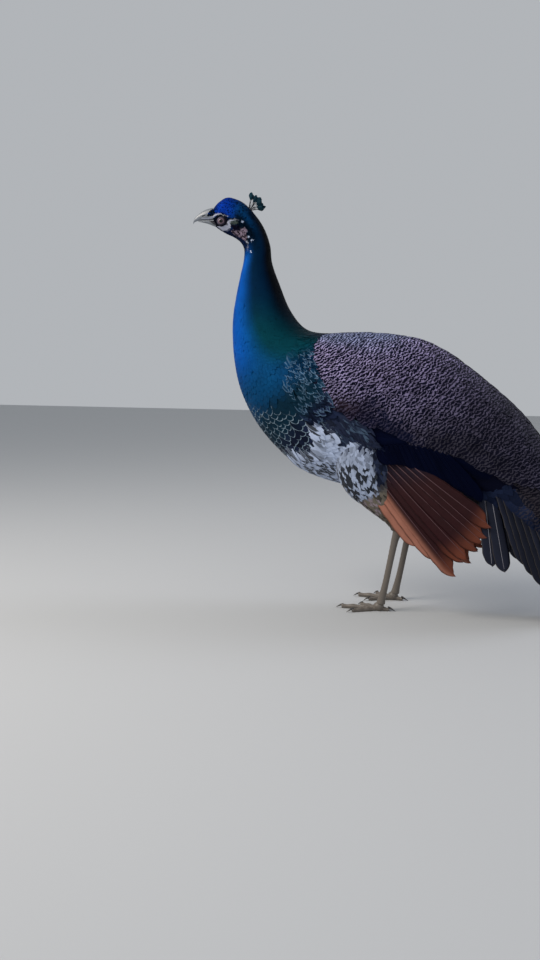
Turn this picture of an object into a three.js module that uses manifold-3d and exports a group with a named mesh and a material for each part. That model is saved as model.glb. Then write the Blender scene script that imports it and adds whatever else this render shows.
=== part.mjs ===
// A young Indian peacock, standing, as a still life-size model.
// Millimetres, +Z up. The bird faces -Y, its left side is +X, and its soles stand on z = 0.
import * as THREE from "three";
import { mergeVertices } from "three/addons/utils/BufferGeometryUtils.js";
import Module from "manifold-3d";

const wasm = await Module();
wasm.setup();

// ---- Driving dimensions -------------------------------------------------------------------

// Rungs of the plumage outline from bill base to the end of the tail coverts:
// [dorsal y, dorsal z, ventral y, ventral z, half width]. Smooth curves run through them.
const RUNGS = [
  [-288, 703, -287, 673, 8],
  [-278, 713.5, -276, 665, 15],
  [-263, 721.5, -264, 658, 19.5],
  [-246, 718, -251, 652, 21.5],
  [-230, 709, -241, 645, 21.5],
  [-213, 691, -235, 637, 21],
  [-197, 667, -232, 626, 21.5],
  [-186, 637, -234, 607, 23],
  [-182, 605, -239, 586, 26],
  [-168, 568, -247, 552, 31],
  [-147, 521, -253.5, 515, 39],
  [-119, 489, -254.5, 478, 49],
  [-83, 480, -250, 428, 60],
  [-40, 481, -236, 374, 71],
  [10, 481, -205, 317, 79],
  [57, 476, -160, 269, 83],
  [100, 467, -105, 236, 84],
  [140, 448, -45, 219, 82],
  [178, 422, 13, 211, 78],
  [215, 393, 67, 203, 72],
  [249, 364, 112, 193, 66],
  [276, 337, 150, 180, 60],
  [298, 308, 182, 170, 55],
  [318, 274, 208, 162, 51],
  [335, 236, 232, 156, 47],
  [349, 197, 258, 150, 41],
  [360, 160, 288, 140, 32],
  [368, 128, 320, 122, 20],
  [372, 108, 350, 106, 9],
];
const UP = new THREE.Vector3(0, 0, 1);
const RUNG_GAP = 0.05; // share of a rung left open between two lengths of the body
const GAP = 0.3; // clearance between neighbouring pieces
// The four lengths the body is parted into, by rung, and how finely each is drawn.
const HEAD = { from: 0, to: 6.5, rings: 10 };
const NECK = { from: HEAD.to + RUNG_GAP, to: 11.4, rings: 8 };
const TRUNK = { from: NECK.to + RUNG_GAP, to: 19.5, rings: 14 };
const COVERTS = { from: TRUNK.to + RUNG_GAP, to: RUNGS.length - 1, rings: 12 };

const HEAD_TURN = THREE.MathUtils.degToRad(17); // head and upper neck turned to the left
const TURN_AXIS_Y = -212; // upright axis of that turn
const TURN_FROM = 10; // rung where the turn begins
const TURN_FULL = 4.5; // rung from which the head is fully turned

const EYE = { radius: 8.4, x: 11.5, y: -272.2, z: 678.8, facetsRound: 14, facetsHigh: 10 };
const LEG = { x: 46, hockY: 34, hockZ: 142, ankleY: 6, ankleZ: 13 };
const LEGS_AT_Y = 36; // fore and aft place of the feet under the body

const AROUND = 22; // facets round the body
const BILL_AROUND = 12; // facets round the bill

// ---- Materials ----------------------------------------------------------------------------

const material = (color, roughness = 0.7, metalness = 0) =>
  new THREE.MeshStandardMaterial({ color, roughness, metalness });
const MATERIAL = {
  blue: material(0x0c4a94, 0.45, 0.2),
  teal: material(0x0b4560, 0.5, 0.2),
  barred: material(0x4a4448, 0.8),
  white: material(0xc9ccd2, 0.9),
  blueBlack: material(0x10182a, 0.5),
  chestnut: material(0x7a3f2c, 0.7),
  brown: material(0x3c3638, 0.8),
  tail: material(0x1c1d22, 0.7),
  horn: material(0x8b8a86, 0.5),
  scale: material(0x77706a, 0.6),
  claw: material(0x3a3532, 0.4),
  eye: material(0x2a1a12, 0.1),
};

// ---- Solids -------------------------------------------------------------------------------

// A closed three.js geometry as a solid that can be joined and cut.
function solidOf(geometry) {
  const bare = geometry.clone();
  bare.deleteAttribute("normal");
  bare.deleteAttribute("uv");
  const merged = mergeVertices(bare, 1e-3);
  return new wasm.Manifold(
    new wasm.Mesh({
      numProp: 3,
      vertProperties: new Float32Array(merged.attributes.position.array),
      triVerts: new Uint32Array(merged.index.array),
    }),
  );
}

function geometryOf(solid) {
  const { vertProperties, triVerts } = solid.getMesh();
  const geometry = new THREE.BufferGeometry()
    .setAttribute("position", new THREE.BufferAttribute(vertProperties, 3))
    .setIndex(new THREE.BufferAttribute(triVerts, 1))
    .toNonIndexed();
  geometry.computeVertexNormals();
  return geometry;
}

const join = (solids) => solids.reduce((all, one) => all.add(one));
const cut = (solid, ...tools) => tools.reduce((rest, tool) => rest.subtract(tool), solid);
const largest = (solid) =>
  solid.decompose().reduce((best, one) => (one.volume() > best.volume() ? one : best));

// A skin over rings of equal count, closed at each end by a fan to the ring's own centre.
function loft(rings) {
  const count = rings[0].length;
  const centre = (ring) =>
    ring.reduce((sum, p) => sum.add(p), new THREE.Vector3()).divideScalar(ring.length);
  const points = [...rings.flat(), centre(rings[0]), centre(rings[rings.length - 1])];
  const firstPole = rings.length * count;
  const index = [];
  for (let r = 0; r < rings.length - 1; r++) {
    for (let i = 0; i < count; i++) {
      const a = r * count + i;
      const b = r * count + ((i + 1) % count);
      index.push(a, b, b + count, a, b + count, a + count);
    }
  }
  for (let i = 0; i < count; i++) {
    const next = (i + 1) % count;
    const last = (rings.length - 1) * count;
    index.push(firstPole, next, i);
    index.push(firstPole + 1, last + i, last + next);
  }
  const geometry = new THREE.BufferGeometry().setFromPoints(points).setIndex(index);
  const solid = solidOf(geometry);
  return solid.volume() > 0 ? solid : solidOf(geometry.setIndex(index.reverse()));
}

const degrees = THREE.MathUtils.degToRad;
const steps = (from, to, count) =>
  Array.from({ length: count + 1 }, (_, i) => from + ((to - from) * i) / count);

// ---- The body: one surface carried down a ladder of rungs --------------------------------------

const curveOf = (pick) => new THREE.CatmullRomCurve3(RUNGS.map(pick), false, "catmullrom", 0.5);
const DORSAL = curveOf(([y, z, , , w]) => new THREE.Vector3(w, y, z));
const VENTRAL = curveOf(([, , y, z]) => new THREE.Vector3(0, y, z));

const turnAt = (rung) => HEAD_TURN * (1 - THREE.MathUtils.smoothstep(rung, TURN_FULL, TURN_FROM));

function turned(point, angle) {
  const y = point.y - TURN_AXIS_Y;
  return new THREE.Vector3(
    point.x * Math.cos(angle) - y * Math.sin(angle),
    point.x * Math.sin(angle) + y * Math.cos(angle) + TURN_AXIS_Y,
    point.z,
  );
}

// The plumage surface: theta runs from the back (0) over the left side to the belly (pi).
function bodyPoint(rung, theta, grow = 0) {
  const share = rung / (RUNGS.length - 1);
  const back = DORSAL.getPoint(share);
  const belly = VENTRAL.getPoint(share);
  const width = back.x + grow;
  back.x = 0;
  const chord = back.clone().sub(belly);
  const half = chord.length() / 2;
  const point = back
    .add(belly)
    .multiplyScalar(0.5)
    .addScaledVector(chord.normalize(), (half + grow) * Math.cos(theta));
  point.x = width * Math.sin(theta);
  return turned(point, turnAt(rung));
}

// A length of the body; as room cut from its neighbours it is grown and runs on past both ends.
function bodyLength({ from, to, rings }, grow = 0) {
  const angles = steps(0, 2 * Math.PI, AROUND).slice(0, AROUND);
  const margin = grow ? RUNG_GAP : 0;
  const rungs = new Set([from - margin, ...steps(from, to, rings), to + margin]);
  const onLadder = [...rungs].filter((rung) => rung >= 0 && rung <= RUNGS.length - 1);
  return loft(onLadder.map((rung) => angles.map((a) => bodyPoint(rung, a, grow))));
}

// Reads a table of [rung, degrees] pairs at any rung, in radians.
function angleAt(table, rung) {
  const above = table.findIndex(([r]) => r >= rung);
  const next = above < 0 ? table.length - 1 : Math.max(1, above);
  const [[r0, a0], [r1, a1]] = [table[next - 1], table[next]];
  return degrees(THREE.MathUtils.mapLinear(rung, r0, r1, a0, a1));
}

// A layer of feathers lying on the left side of the body, sunk a little into it.
function layer({ top, bottom, depth, rings }, grow = 0) {
  const across = steps(0, 1, LAYER_ACROSS);
  const [from, to] = [bottom[0][0], bottom[bottom.length - 1][0]];
  const edge = LAYER_EDGE + grow;
  const slack = grow / LAYER_RADIUS;
  const onward = grow ? [[from - RUNG_GAP], [to + RUNG_GAP]] : [[], []];
  return loft(
    [...onward[0], ...steps(from, to, rings), ...onward[1]].map((rung) => {
      const along = THREE.MathUtils.clamp((rung - from) / (to - from), 0, 1);
      const swell = Math.min(1, LAYER_RISE * Math.min(along, 1 - along));
      const [high, low] = [angleAt(top, rung) - slack, angleAt(bottom, rung) + slack];
      const lift = (s) => edge + (depth - LAYER_EDGE) * swell * Math.sin(Math.PI * s) ** 0.5;
      const outer = across.map((s) => bodyPoint(rung, high + (low - high) * s, lift(s)));
      const inner = across.map((s) => bodyPoint(rung, high + (low - high) * s, -LAYER_SUNK));
      return [...outer, ...inner.reverse()];
    }),
  );
}

// ---- Feather blades -----------------------------------------------------------------------

// The outline of a blade, as shares of its half width and of its length or width.
const VANE = { quill: 0.35, swellAt: 0.2, tipRound: 0.2 };

// A flat feather blade: from root, along the quill's direction, with its face towards facing.
function blade({ root, direction, facing, length, width, thick, segments = 2 }) {
  const half = width / 2;
  const shoulder = Math.max(length / 2, length - width);
  const corner = length - width * VANE.tipRound;
  const swell = length * VANE.swellAt;
  const outline = new THREE.Shape()
    .moveTo(-half * VANE.quill, 0)
    .quadraticCurveTo(-half, swell, -half, shoulder)
    .quadraticCurveTo(-half, corner, 0, length)
    .quadraticCurveTo(half, corner, half, shoulder)
    .quadraticCurveTo(half, swell, half * VANE.quill, 0)
    .closePath();
  const geometry = new THREE.ExtrudeGeometry(outline, {
    depth: thick,
    bevelEnabled: false,
    curveSegments: segments,
    steps: 1,
  });
  const along = direction.clone().normalize();
  const across = new THREE.Vector3().crossVectors(along, facing).normalize();
  const outward = new THREE.Vector3().crossVectors(across, along).normalize();
  geometry.translate(0, 0, -thick / 2);
  geometry.applyMatrix4(
    new THREE.Matrix4().makeBasis(across, along, outward).setPosition(root),
  );
  return solidOf(geometry);
}

// ---- Head ---------------------------------------------------------------------------------

const headTurned = (geometry) =>
  solidOf(
    geometry
      .translate(0, -TURN_AXIS_Y, 0)
      .rotateZ(HEAD_TURN)
      .translate(0, TURN_AXIS_Y, 0),
  );

function eyeBall(side, grow = 0) {
  const ball = new THREE.SphereGeometry(EYE.radius + grow, EYE.facetsRound, EYE.facetsHigh);
  return headTurned(ball.translate(side * EYE.x, EYE.y, EYE.z));
}

// One half of the bill: rings from the base forward, each [y, top z, bottom z, half width].
function billHalf(rows, grow = 0) {
  const rings = rows.map(([y, top, bottom, half]) =>
    steps(0, 2 * Math.PI, BILL_AROUND)
      .slice(0, BILL_AROUND)
      .map((a) => {
        const z = (top + bottom) / 2 + ((top - bottom) / 2 + grow) * Math.cos(a);
        return turned(new THREE.Vector3((half + grow) * Math.sin(a), y, z), HEAD_TURN);
      }),
  );
  return loft(rings);
}

const BILL_UPPER = [
  [-280, 704.5, 683.5, 8],
  [-288.6, 704, 682.8, 8.4],
  [-295.5, 703, 682.3, 7.8],
  [-303, 700.6, 682.1, 6.8],
  [-310.5, 696.6, 681.9, 5.5],
  [-317.5, 691.4, 681, 4.1],
  [-322.6, 686, 679, 2.6],
  [-325, 680.2, 676.2, 0.9],
];
const BILL_LOWER = [
  [-278, 682, 669, 7.6],
  [-288.6, 681.8, 672.2, 7.4],
  [-297, 681.6, 675.6, 6.2],
  [-306, 681.4, 678, 4.6],
  [-312, 681.2, 679.2, 2.7],
  [-315.5, 681, 680, 1],
];
// The same rows with their base set back, as room for the bill in its neighbours.
const setBack = (rows) => rows.map(([y, ...rest], i) => [i ? y : y + GAP, ...rest]);
const billRoom = (rows) => billHalf(setBack(rows), GAP);

// The crest: plumes with bare shafts and fan tips, laid back from the crown.
const CREST = { y: -225, z: 701, plumes: 11, shaft: 19, fan: 12, low: 5, high: 86, splay: 0.1 };
const CREST_LOOK = { shaftWide: 1.5, fanWide: 6.5, thick: 1.2, pad: 5, padLong: 1.4 };
const CREST_ROOT = new THREE.Vector3(0, CREST.y, CREST.z);
const headVector = (x, y, z) => new THREE.Vector3(x, y, z).applyAxisAngle(UP, HEAD_TURN);

function crest() {
  const { shaftWide, fanWide, thick, pad, padLong } = CREST_LOOK;
  const root = headTurned(
    new THREE.SphereGeometry(pad, 8, 6).scale(1, padLong, 1).translate(0, CREST.y, CREST.z - 1),
  );
  const plumes = steps(CREST.low, CREST.high, CREST.plumes - 1).flatMap((rise, i) => {
    const splay = CREST.splay * (((i * 5) % 4) - 1.5);
    const direction = headVector(splay, Math.cos(degrees(rise)), Math.sin(degrees(rise)));
    const shaft = { root: turned(CREST_ROOT, HEAD_TURN), direction, facing: headVector(1, 0, 0) };
    const fanRoot = shaft.root.clone().addScaledVector(direction, CREST.shaft - 1);
    return [
      blade({ ...shaft, length: CREST.shaft, width: shaftWide, thick, segments: 1 }),
      blade({ ...shaft, root: fanRoot, length: CREST.fan, width: fanWide, thick }),
    ];
  });
  return join([root, ...plumes]);
}

// ---- Legs ---------------------------------------------------------------------------------

// A limb: round sections along a path, each {x, y, z, r, flat}; flat squeezes it sideways.
function limb(sections, sides = 12) {
  const path = new THREE.CatmullRomCurve3(sections.map((s) => new THREE.Vector3(s.x, s.y, s.z)));
  const rings = sections.map((s, i) => {
    const share = i / (sections.length - 1);
    const along = path.getTangent(share);
    const side = new THREE.Vector3(1, 0, 0).addScaledVector(along, -along.x).normalize();
    const front = new THREE.Vector3().crossVectors(along, side);
    return steps(0, 2 * Math.PI, sides)
      .slice(0, sides)
      .map((a) =>
        new THREE.Vector3(s.x, s.y, s.z)
          .addScaledVector(side, s.r * (s.flat ?? 1) * Math.cos(a))
          .addScaledVector(front, s.r * Math.sin(a)),
      );
  });
  return loft(rings);
}

const legY = (y) => y + LEGS_AT_Y;

function thigh(grow = 0) {
  return limb([
    { x: 40, y: legY(-26), z: 294, r: 33 + grow },
    { x: 46, y: legY(-24), z: 262, r: 50 + grow, flat: 0.72 },
    { x: 49, y: legY(-14), z: 230, r: 46 + grow, flat: 0.68 },
    { x: 49, y: legY(2), z: 202, r: 33 + grow, flat: 0.74 },
    { x: 48, y: legY(16), z: 180, r: 22 + grow, flat: 0.8 },
    { x: 47, y: legY(27), z: 161, r: 13 + grow, flat: 0.9 },
    { x: LEG.x, y: legY(32), z: 148, r: 8.6 + grow, flat: 0.95 },
  ]);
}

const TARSUS_TOP = 147.6;
function tarsus(grow = 0) {
  return limb(
    [
      { x: LEG.x, y: legY(LEG.hockY - 1), z: TARSUS_TOP, r: 7.2 + grow },
      { x: LEG.x, y: legY(LEG.hockY), z: LEG.hockZ - 3, r: 8 + grow, flat: 0.9 },
      { x: LEG.x, y: legY(LEG.hockY - 4), z: LEG.hockZ - 16, r: 6.2 + grow, flat: 0.85 },
      { x: LEG.x, y: legY(23), z: 92, r: 5.4 + grow, flat: 0.85 },
      { x: LEG.x, y: legY(15), z: 52, r: 5.4 + grow, flat: 0.88 },
      { x: LEG.x, y: legY(9), z: 26, r: 6.2 + grow, flat: 0.95 },
      { x: LEG.x, y: legY(LEG.ankleY), z: LEG.ankleZ, r: 7.6 + grow },
    ],
    8,
  );
}

// Toes: heading in degrees from straight ahead (outwards positive), length and girth.
const TOES = [
  { name: "inner", heading: -34, length: 44, r: 5, joints: 2 },
  { name: "middle", heading: 3, length: 64, r: 5.4, joints: 3 },
  { name: "outer", heading: 38, length: 47, r: 4.9, joints: 3 },
  { name: "hind", heading: 186, length: 21, r: 4.4, joints: 2 },
];
const TOE = { heel: 4, taper: 0.3, waist: 0.86, sunk: 0.82 }; // waist: girth between two pads
const CLAW = { length: 13, r: 2.7, drop: 0.9, sunk: 2.5, taper: 0.86, arch: 2.6, flatten: 0.45 };
const PALM = { r: 8.4, wide: 1.05, long: 1.15, z: 7 };

function toeSections({ heading, length, r, joints }) {
  const angle = THREE.MathUtils.degToRad(heading);
  const reach = (s) => ({
    x: LEG.x + Math.sin(angle) * s,
    y: legY(LEG.ankleY - 6) - Math.cos(angle) * s,
  });
  return steps(0, 1, joints * 2).map((s, i) => {
    const girth = r * (1 - TOE.taper * s) * (i % 2 ? TOE.waist : 1);
    return { ...reach(TOE.heel + (length - TOE.heel) * s), z: girth * TOE.sunk, r: girth };
  });
}

// A level limb: sections stand upright across a straight heading.
function levelLimb(sections, headingDegrees, sides = 8) {
  const angle = THREE.MathUtils.degToRad(headingDegrees);
  const side = new THREE.Vector3(Math.cos(angle), Math.sin(angle), 0);
  return loft(
    sections.map((s) =>
      steps(0, 2 * Math.PI, sides)
        .slice(0, sides)
        .map((a) =>
          new THREE.Vector3(s.x, s.y, s.z)
            .addScaledVector(side, s.r * Math.cos(a))
            .addScaledVector(UP, s.r * Math.sin(a)),
        ),
    ),
  );
}

const FLOOR_CLEARANCE = 0.05; // of a claw's underside
const BELOW_FLOOR = solidOf(new THREE.BoxGeometry(2000, 2000, 200).translate(0, 0, -100));

function leg() {
  const palm = solidOf(
    new THREE.SphereGeometry(PALM.r, 10, 8)
      .scale(PALM.wide, PALM.long, 1)
      .translate(LEG.x, legY(LEG.ankleY - 4), PALM.z),
  );
  const toes = TOES.map((toe) => levelLimb(toeSections(toe), toe.heading));
  return cut(join([palm, tarsus(), ...toes]), BELOW_FLOOR);
}

function claw(toe, grow = 0) {
  const angle = THREE.MathUtils.degToRad(toe.heading);
  const sections = steps(0, 1, 4).map((s) => {
    const forward = toe.length - CLAW.sunk + CLAW.length * s;
    const r = (CLAW.r + grow) * (1 - CLAW.taper * s ** 1.3);
    const arch = CLAW.arch * Math.sin(Math.PI * (0.28 + 0.66 * s)) * (1 - CLAW.flatten * s);
    return {
      x: LEG.x + Math.sin(angle) * forward,
      y: legY(LEG.ankleY - 6) - Math.cos(angle) * forward,
      z: r + FLOOR_CLEARANCE + arch + CLAW.drop * (1 - s),
      r,
    };
  });
  return levelLimb(sections, toe.heading, 8);
}

// ---- Wings --------------------------------------------------------------------------------

// The folded wing over the flank, and the band of secondaries that shows below it:
// each edge is a table of [rung, degrees round from the back].
const LAYER_ACROSS = 6;
const LAYER_EDGE = 2.4; // how proud the edge of a layer stands
const LAYER_RISE = 4; // how quickly it swells from either end
const LAYER_SUNK = 4; // how far its underside lies inside the body
const LAYER_RADIUS = 70; // typical distance of a layer from the middle of the body
const WING = {
  depth: 13,
  rings: 13,
  top: [[12.3, 22], [14, 24], [19, 25], [24.2, 34]],
  bottom: [
    [12.3, 30], [12.8, 50], [13.5, 76], [14.3, 88], [15.2, 93], [16.1, 97], [17.1, 95],
    [18.9, 98], [19.6, 95], [20.4, 92], [21.5, 90], [22.6, 83], [23.5, 70], [24.2, 46],
  ],
};
const BAND = {
  depth: 9,
  rings: 9,
  top: [[15.6, 84], [19, 84], [22, 76], [23.3, 62]],
  bottom: [[15.6, 98], [16.5, 105], [17.3, 111], [18.1, 115], [20.3, 116], [22, 113], [23.3, 92]],
};

// Long feathers in a fan: quills spaced along a curve of roots, tips along a curve of tips.
const PRIMARIES = {
  count: 9,
  width: 36,
  thick: 2.6,
  roots: [[78, 0, 258], [79, 41, 265], [73, 96, 261]],
  tips: [[66, 115, 121], [64, 162, 85], [62, 206, 108], [59, 238, 166]],
};
// The tail from its middle pair, longest and uppermost; two short steep outer pairs hang apart.
const TAIL = {
  count: 8,
  width: 38,
  thick: 2.4,
  roots: [[4, 238, 332], [13, 229, 320], [24, 210, 298]],
  tips: [[5, 384, 22], [33, 344, 44], [58, 292, 97]],
};
const TAIL_OUTER = {
  count: 2,
  width: 27,
  thick: 2.4,
  roots: [[25, 208, 292], [27, 202, 286]],
  tips: [[62, 255, 87], [65, 239, 97]],
};

const through = (points) =>
  new THREE.CatmullRomCurve3(points.map((p) => new THREE.Vector3(...p)), false, "catmullrom");

// Each blade lies in the plane of its own quill and its neighbours' tips, so they overlap.
function longFeathers({ count, width, thick, roots, tips }, grow = 0) {
  const [rootCurve, tipCurve] = [through(roots), through(tips)];
  return steps(0, 1, count - 1).map((share) => {
    const root = rootCurve.getPoint(share);
    const direction = tipCurve.getPoint(share).sub(root);
    const facing = tipCurve.getTangent(share).cross(direction);
    facing.multiplyScalar(Math.sign(facing.x) / facing.length());
    return blade({
      root,
      direction,
      facing,
      length: direction.length(),
      width: width + 2 * grow,
      thick: thick + 2 * grow,
    });
  });
}

// ---- Putting the bird together ----------------------------------------------------------------

const bird = new THREE.Group();
const mirrored = (solid) => solid.mirror([1, 0, 0]);
const bothSides = (solids) => [...solids, ...solids.map(mirrored)];

function place(name, solid, look, ...rooms) {
  const mesh = new THREE.Mesh(geometryOf(largest(cut(solid, ...rooms))), look);
  mesh.name = name;
  bird.add(mesh);
}

// A piece of the left side and its mirror image, each cut clear of both sides' neighbours.
function placePair(name, solid, look, ...rooms) {
  place(`${name}_left`, solid, look, ...rooms);
  place(`${name}_right`, mirrored(solid), look, ...rooms);
}

const billRooms = [billRoom(BILL_UPPER), billRoom(BILL_LOWER)];
const eyeRooms = [eyeBall(1, GAP), eyeBall(-1, GAP)];
place("head", bodyLength(HEAD), MATERIAL.blue, ...billRooms, ...eyeRooms);
place("bill_upper", billHalf(BILL_UPPER), MATERIAL.horn);
place("bill_lower", billHalf(BILL_LOWER), MATERIAL.horn, billRooms[0], ...eyeRooms);
place("eye_left", eyeBall(1), MATERIAL.eye);
place("eye_right", eyeBall(-1), MATERIAL.eye);
place("crest", crest(), MATERIAL.teal, bodyLength(HEAD, GAP));
place("neck", bodyLength(NECK), MATERIAL.blue);
place("trunk", bodyLength(TRUNK), MATERIAL.white);
place("tail_coverts", bodyLength(COVERTS), MATERIAL.brown);

const bodyRooms = [NECK, TRUNK, COVERTS].map((part) => bodyLength(part, GAP));
const bandRooms = bothSides([layer(BAND, GAP)]);
const wingRooms = bothSides([layer(WING, GAP)]);
placePair("wing_coverts", layer(WING), MATERIAL.barred, ...bodyRooms, ...bandRooms);
placePair("secondaries", layer(BAND), MATERIAL.blueBlack, ...bodyRooms);

const layerRooms = [...bodyRooms, ...bandRooms, ...wingRooms];
placePair("thigh", thigh(), MATERIAL.white, ...layerRooms);
const thighRooms = bothSides([thigh(GAP)]);
const clawRooms = bothSides(TOES.map((toe) => claw(toe, GAP)));
placePair("leg", leg(), MATERIAL.scale, ...thighRooms, ...clawRooms);
for (const toe of TOES) {
  placePair(`claw_${toe.name}`, claw(toe), MATERIAL.claw, BELOW_FLOOR);
}

const primaries = join(longFeathers(PRIMARIES));
placePair("primaries", primaries, MATERIAL.chestnut, ...layerRooms, ...thighRooms);
const primaryRooms = bothSides([join(longFeathers(PRIMARIES, GAP))]);
const tailFeathers = join(bothSides(longFeathers(TAIL)));
place("tail_feathers", tailFeathers, MATERIAL.tail, ...layerRooms, ...primaryRooms);
const outerTail = join(longFeathers(TAIL_OUTER));
const tailRoom = join(bothSides(longFeathers(TAIL, GAP)));
placePair("outer_tail", outerTail, MATERIAL.tail, ...layerRooms, ...primaryRooms, tailRoom);

// The origin is the middle of the footprint of the whole bird, on the floor.
const reach = new THREE.Box3().setFromObject(bird);
const middle = reach.getCenter(new THREE.Vector3());
bird.position.set(-middle.x, -middle.y, 0);

export default bird;
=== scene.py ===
"""A young Indian peacock, standing: the looks of a still, life-size model.

The bird faces -Y, its left side is +X and its soles stand on z = 0. Shapes are worked out in
millimetres from between the feet, from the same rungs as the solids. They are moved to the middle
of the footprint and turned to metres as they become meshes.
"""

import logging
import math
from abc import ABC, abstractmethod
from dataclasses import dataclass, field
from enum import Enum
from typing import Callable

import bpy
import numpy as np
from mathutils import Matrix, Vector


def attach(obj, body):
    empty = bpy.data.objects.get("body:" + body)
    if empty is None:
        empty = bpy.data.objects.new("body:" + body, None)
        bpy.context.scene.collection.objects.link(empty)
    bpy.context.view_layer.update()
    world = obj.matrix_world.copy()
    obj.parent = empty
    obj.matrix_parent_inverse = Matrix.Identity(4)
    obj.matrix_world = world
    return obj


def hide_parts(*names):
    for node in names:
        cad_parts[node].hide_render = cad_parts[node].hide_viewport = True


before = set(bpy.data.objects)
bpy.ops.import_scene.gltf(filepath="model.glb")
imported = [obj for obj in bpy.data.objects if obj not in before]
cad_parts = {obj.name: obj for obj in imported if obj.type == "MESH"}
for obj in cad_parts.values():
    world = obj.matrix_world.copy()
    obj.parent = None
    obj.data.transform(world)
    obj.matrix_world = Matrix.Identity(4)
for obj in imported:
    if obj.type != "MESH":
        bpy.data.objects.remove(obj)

LOG = logging.getLogger("peacock")
Array = np.ndarray
Material = bpy.types.Material
Socket = bpy.types.NodeSocket
Paint = dict[str, Array]
Pairs = tuple[tuple[float, float], ...]
Points = tuple[tuple[float, float, float], ...]

UP = np.array([0, 0, 1.0])  # upright
METRES = 0.001  # one millimetre
FOOTPRINT_SHIFT = -33.85  # from between the feet to the middle of the footprint, along Y
BODY = "root"
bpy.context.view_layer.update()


# ---- Numbers ----


def smoothstep(low: float | Array, high: float | Array, value: Array) -> Array:
    """Eases from 0 at low to 1 at high, as 3t^2 - 2t^3."""
    share = np.clip((value - low) / (np.asarray(high) - low), 0.0, 1.0)
    return share * share * (3 - 2 * share)


def blend(first: Array, second: Array, share: Array) -> Array:
    """Mixes two sets of colours or points by a share for each row."""
    weight = np.asarray(share)[..., None]
    return first * (1 - weight) + second * weight


def layered(ground: Array, *layers: tuple[Array, Array]) -> Array:
    """Lays colours over a ground one after another, each by its own share.

    Args:
        ground: The colour below them all.
        *layers: Each colour and its share.

    Returns:
        The mixed colours.
    """
    for colour, share in layers:
        ground = blend(ground, colour, share)
    return ground


def spline(points: Array, at: Array) -> Array:
    """A Catmull-Rom curve of tension one half, one span for each unit of at.

    Past either end the rows run on in a straight line.

    Args:
        points: Rows that the curve runs through.
        at: Places on it, from 0 to the number of spans.

    Returns:
        A row for each place.
    """
    spans = len(points) - 1
    rows = np.vstack([2 * points[0] - points[1], points, 2 * points[-1] - points[-2]])
    at = np.asarray(at, float)
    inside = np.clip(at, 0, spans)
    index = np.minimum(np.floor(inside).astype(int), spans - 1)
    t = (inside - index)[..., None]
    before, start, end, after = (rows[index + k] for k in range(4))
    leave, arrive = (end - before) / 2, (after - start) / 2
    curve = ((2 * start - 2 * end + leave + arrive) * t**3 + (-3 * start + 3 * end - 2 * leave - arrive)
        * t**2 + leave * t + start)
    beyond = (at - inside)[..., None]
    return curve + beyond * np.where(beyond > 0, arrive, leave)


def unit(vectors: Array) -> Array:
    """The same vectors at length 1."""
    return vectors / np.maximum(np.linalg.norm(vectors, axis=-1, keepdims=True), 1e-12)


def turns(count: int) -> Array:
    """Angles evenly spaced round a full turn."""
    return np.linspace(0, 2 * np.pi, count, endpoint=False)


def stacked(shape: tuple[int, ...], *rows: Array | float) -> Array:
    """Puts rows side by side on a new last axis, each spread to one shape."""
    return np.stack([np.broadcast_to(row, shape) for row in rows], -1)


def with_share(tint: Array, share: Array | float) -> Array:
    """Colours with a fourth channel added."""
    return np.concatenate([tint, np.broadcast_to(share, tint.shape[:-1])[..., None]], -1)


def gathered(items: bpy.types.bpy_prop_collection, name: str, kind: type, each: int = 1) -> Array:
    """One property of many items, each that many numbers, as one array."""
    found = np.zeros(len(items) * each, kind)
    items.foreach_get(name, found)
    return found


def side_name(side: int) -> str:
    """The name of a side of the bird, 1 for its left."""
    return "left" if side > 0 else "right"


def linear(hex_colour: str) -> Array:
    """An sRGB hex colour as three channels of linear light."""
    coded = np.array([int(hex_colour[i : i + 2], 16) for i in (1, 3, 5)]) / 255
    return np.where(coded <= 0.04045, coded / 12.92, ((coded + 0.055) / 1.055) ** 2.4)


# ---- Meshes ----


@dataclass
class Shell:
    """Points in millimetres, the faces over them, and what each point carries.

    Attributes:
        points: One row of x, y, z for each point.
        quads: Four point numbers for each four-sided face.
        tris: Three point numbers for each three-sided face.
        carried: Named rows for each point: 2, 3 or 4 numbers.
    """

    points: Array
    quads: Array = field(default_factory=lambda: np.zeros((0, 4), int))
    tris: Array = field(default_factory=lambda: np.zeros((0, 3), int))
    carried: Paint = field(default_factory=dict)

    def painted(self, **rows: Array) -> "Shell":
        """Carries more rows; a single row is given to every point.

        Args:
            **rows: Named rows.

        Returns:
            This shell.
        """
        for name, row in rows.items():
            row = np.asarray(row, float)
            self.carried[name] = np.broadcast_to(row, (len(self.points), row.shape[-1])).copy()
        return self


def joined(shells: list[Shell]) -> Shell:
    """Puts shells into one, which carries the rows of the first.

    Args:
        shells: The shells, each with the same rows.

    Returns:
        One shell with all their faces.
    """
    starts = np.cumsum([0] + [len(s.points) for s in shells])
    return Shell(np.concatenate([s.points for s in shells]),
        np.concatenate([s.quads + a for s, a in zip(shells, starts)]),
        np.concatenate([s.tris + a for s, a in zip(shells, starts)]),
        {k: np.concatenate([s.carried[k] for s in shells]) for k in shells[0].carried})


def grids(points: Array) -> Shell:
    """Faces over many open grids of equal size.

    Args:
        points: Shape (grids, along, across, 3); across x along points out of the face.

    Returns:
        A shell with a quad in each cell.
    """
    corner = np.arange(points[..., 0].size).reshape(points.shape[:3])
    quads = [corner[:, :-1, :-1], corner[:, :-1, 1:], corner[:, 1:, 1:], corner[:, 1:, :-1]]
    return Shell(points.reshape(-1, 3), np.stack(quads, -1).reshape(-1, 4))


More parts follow.
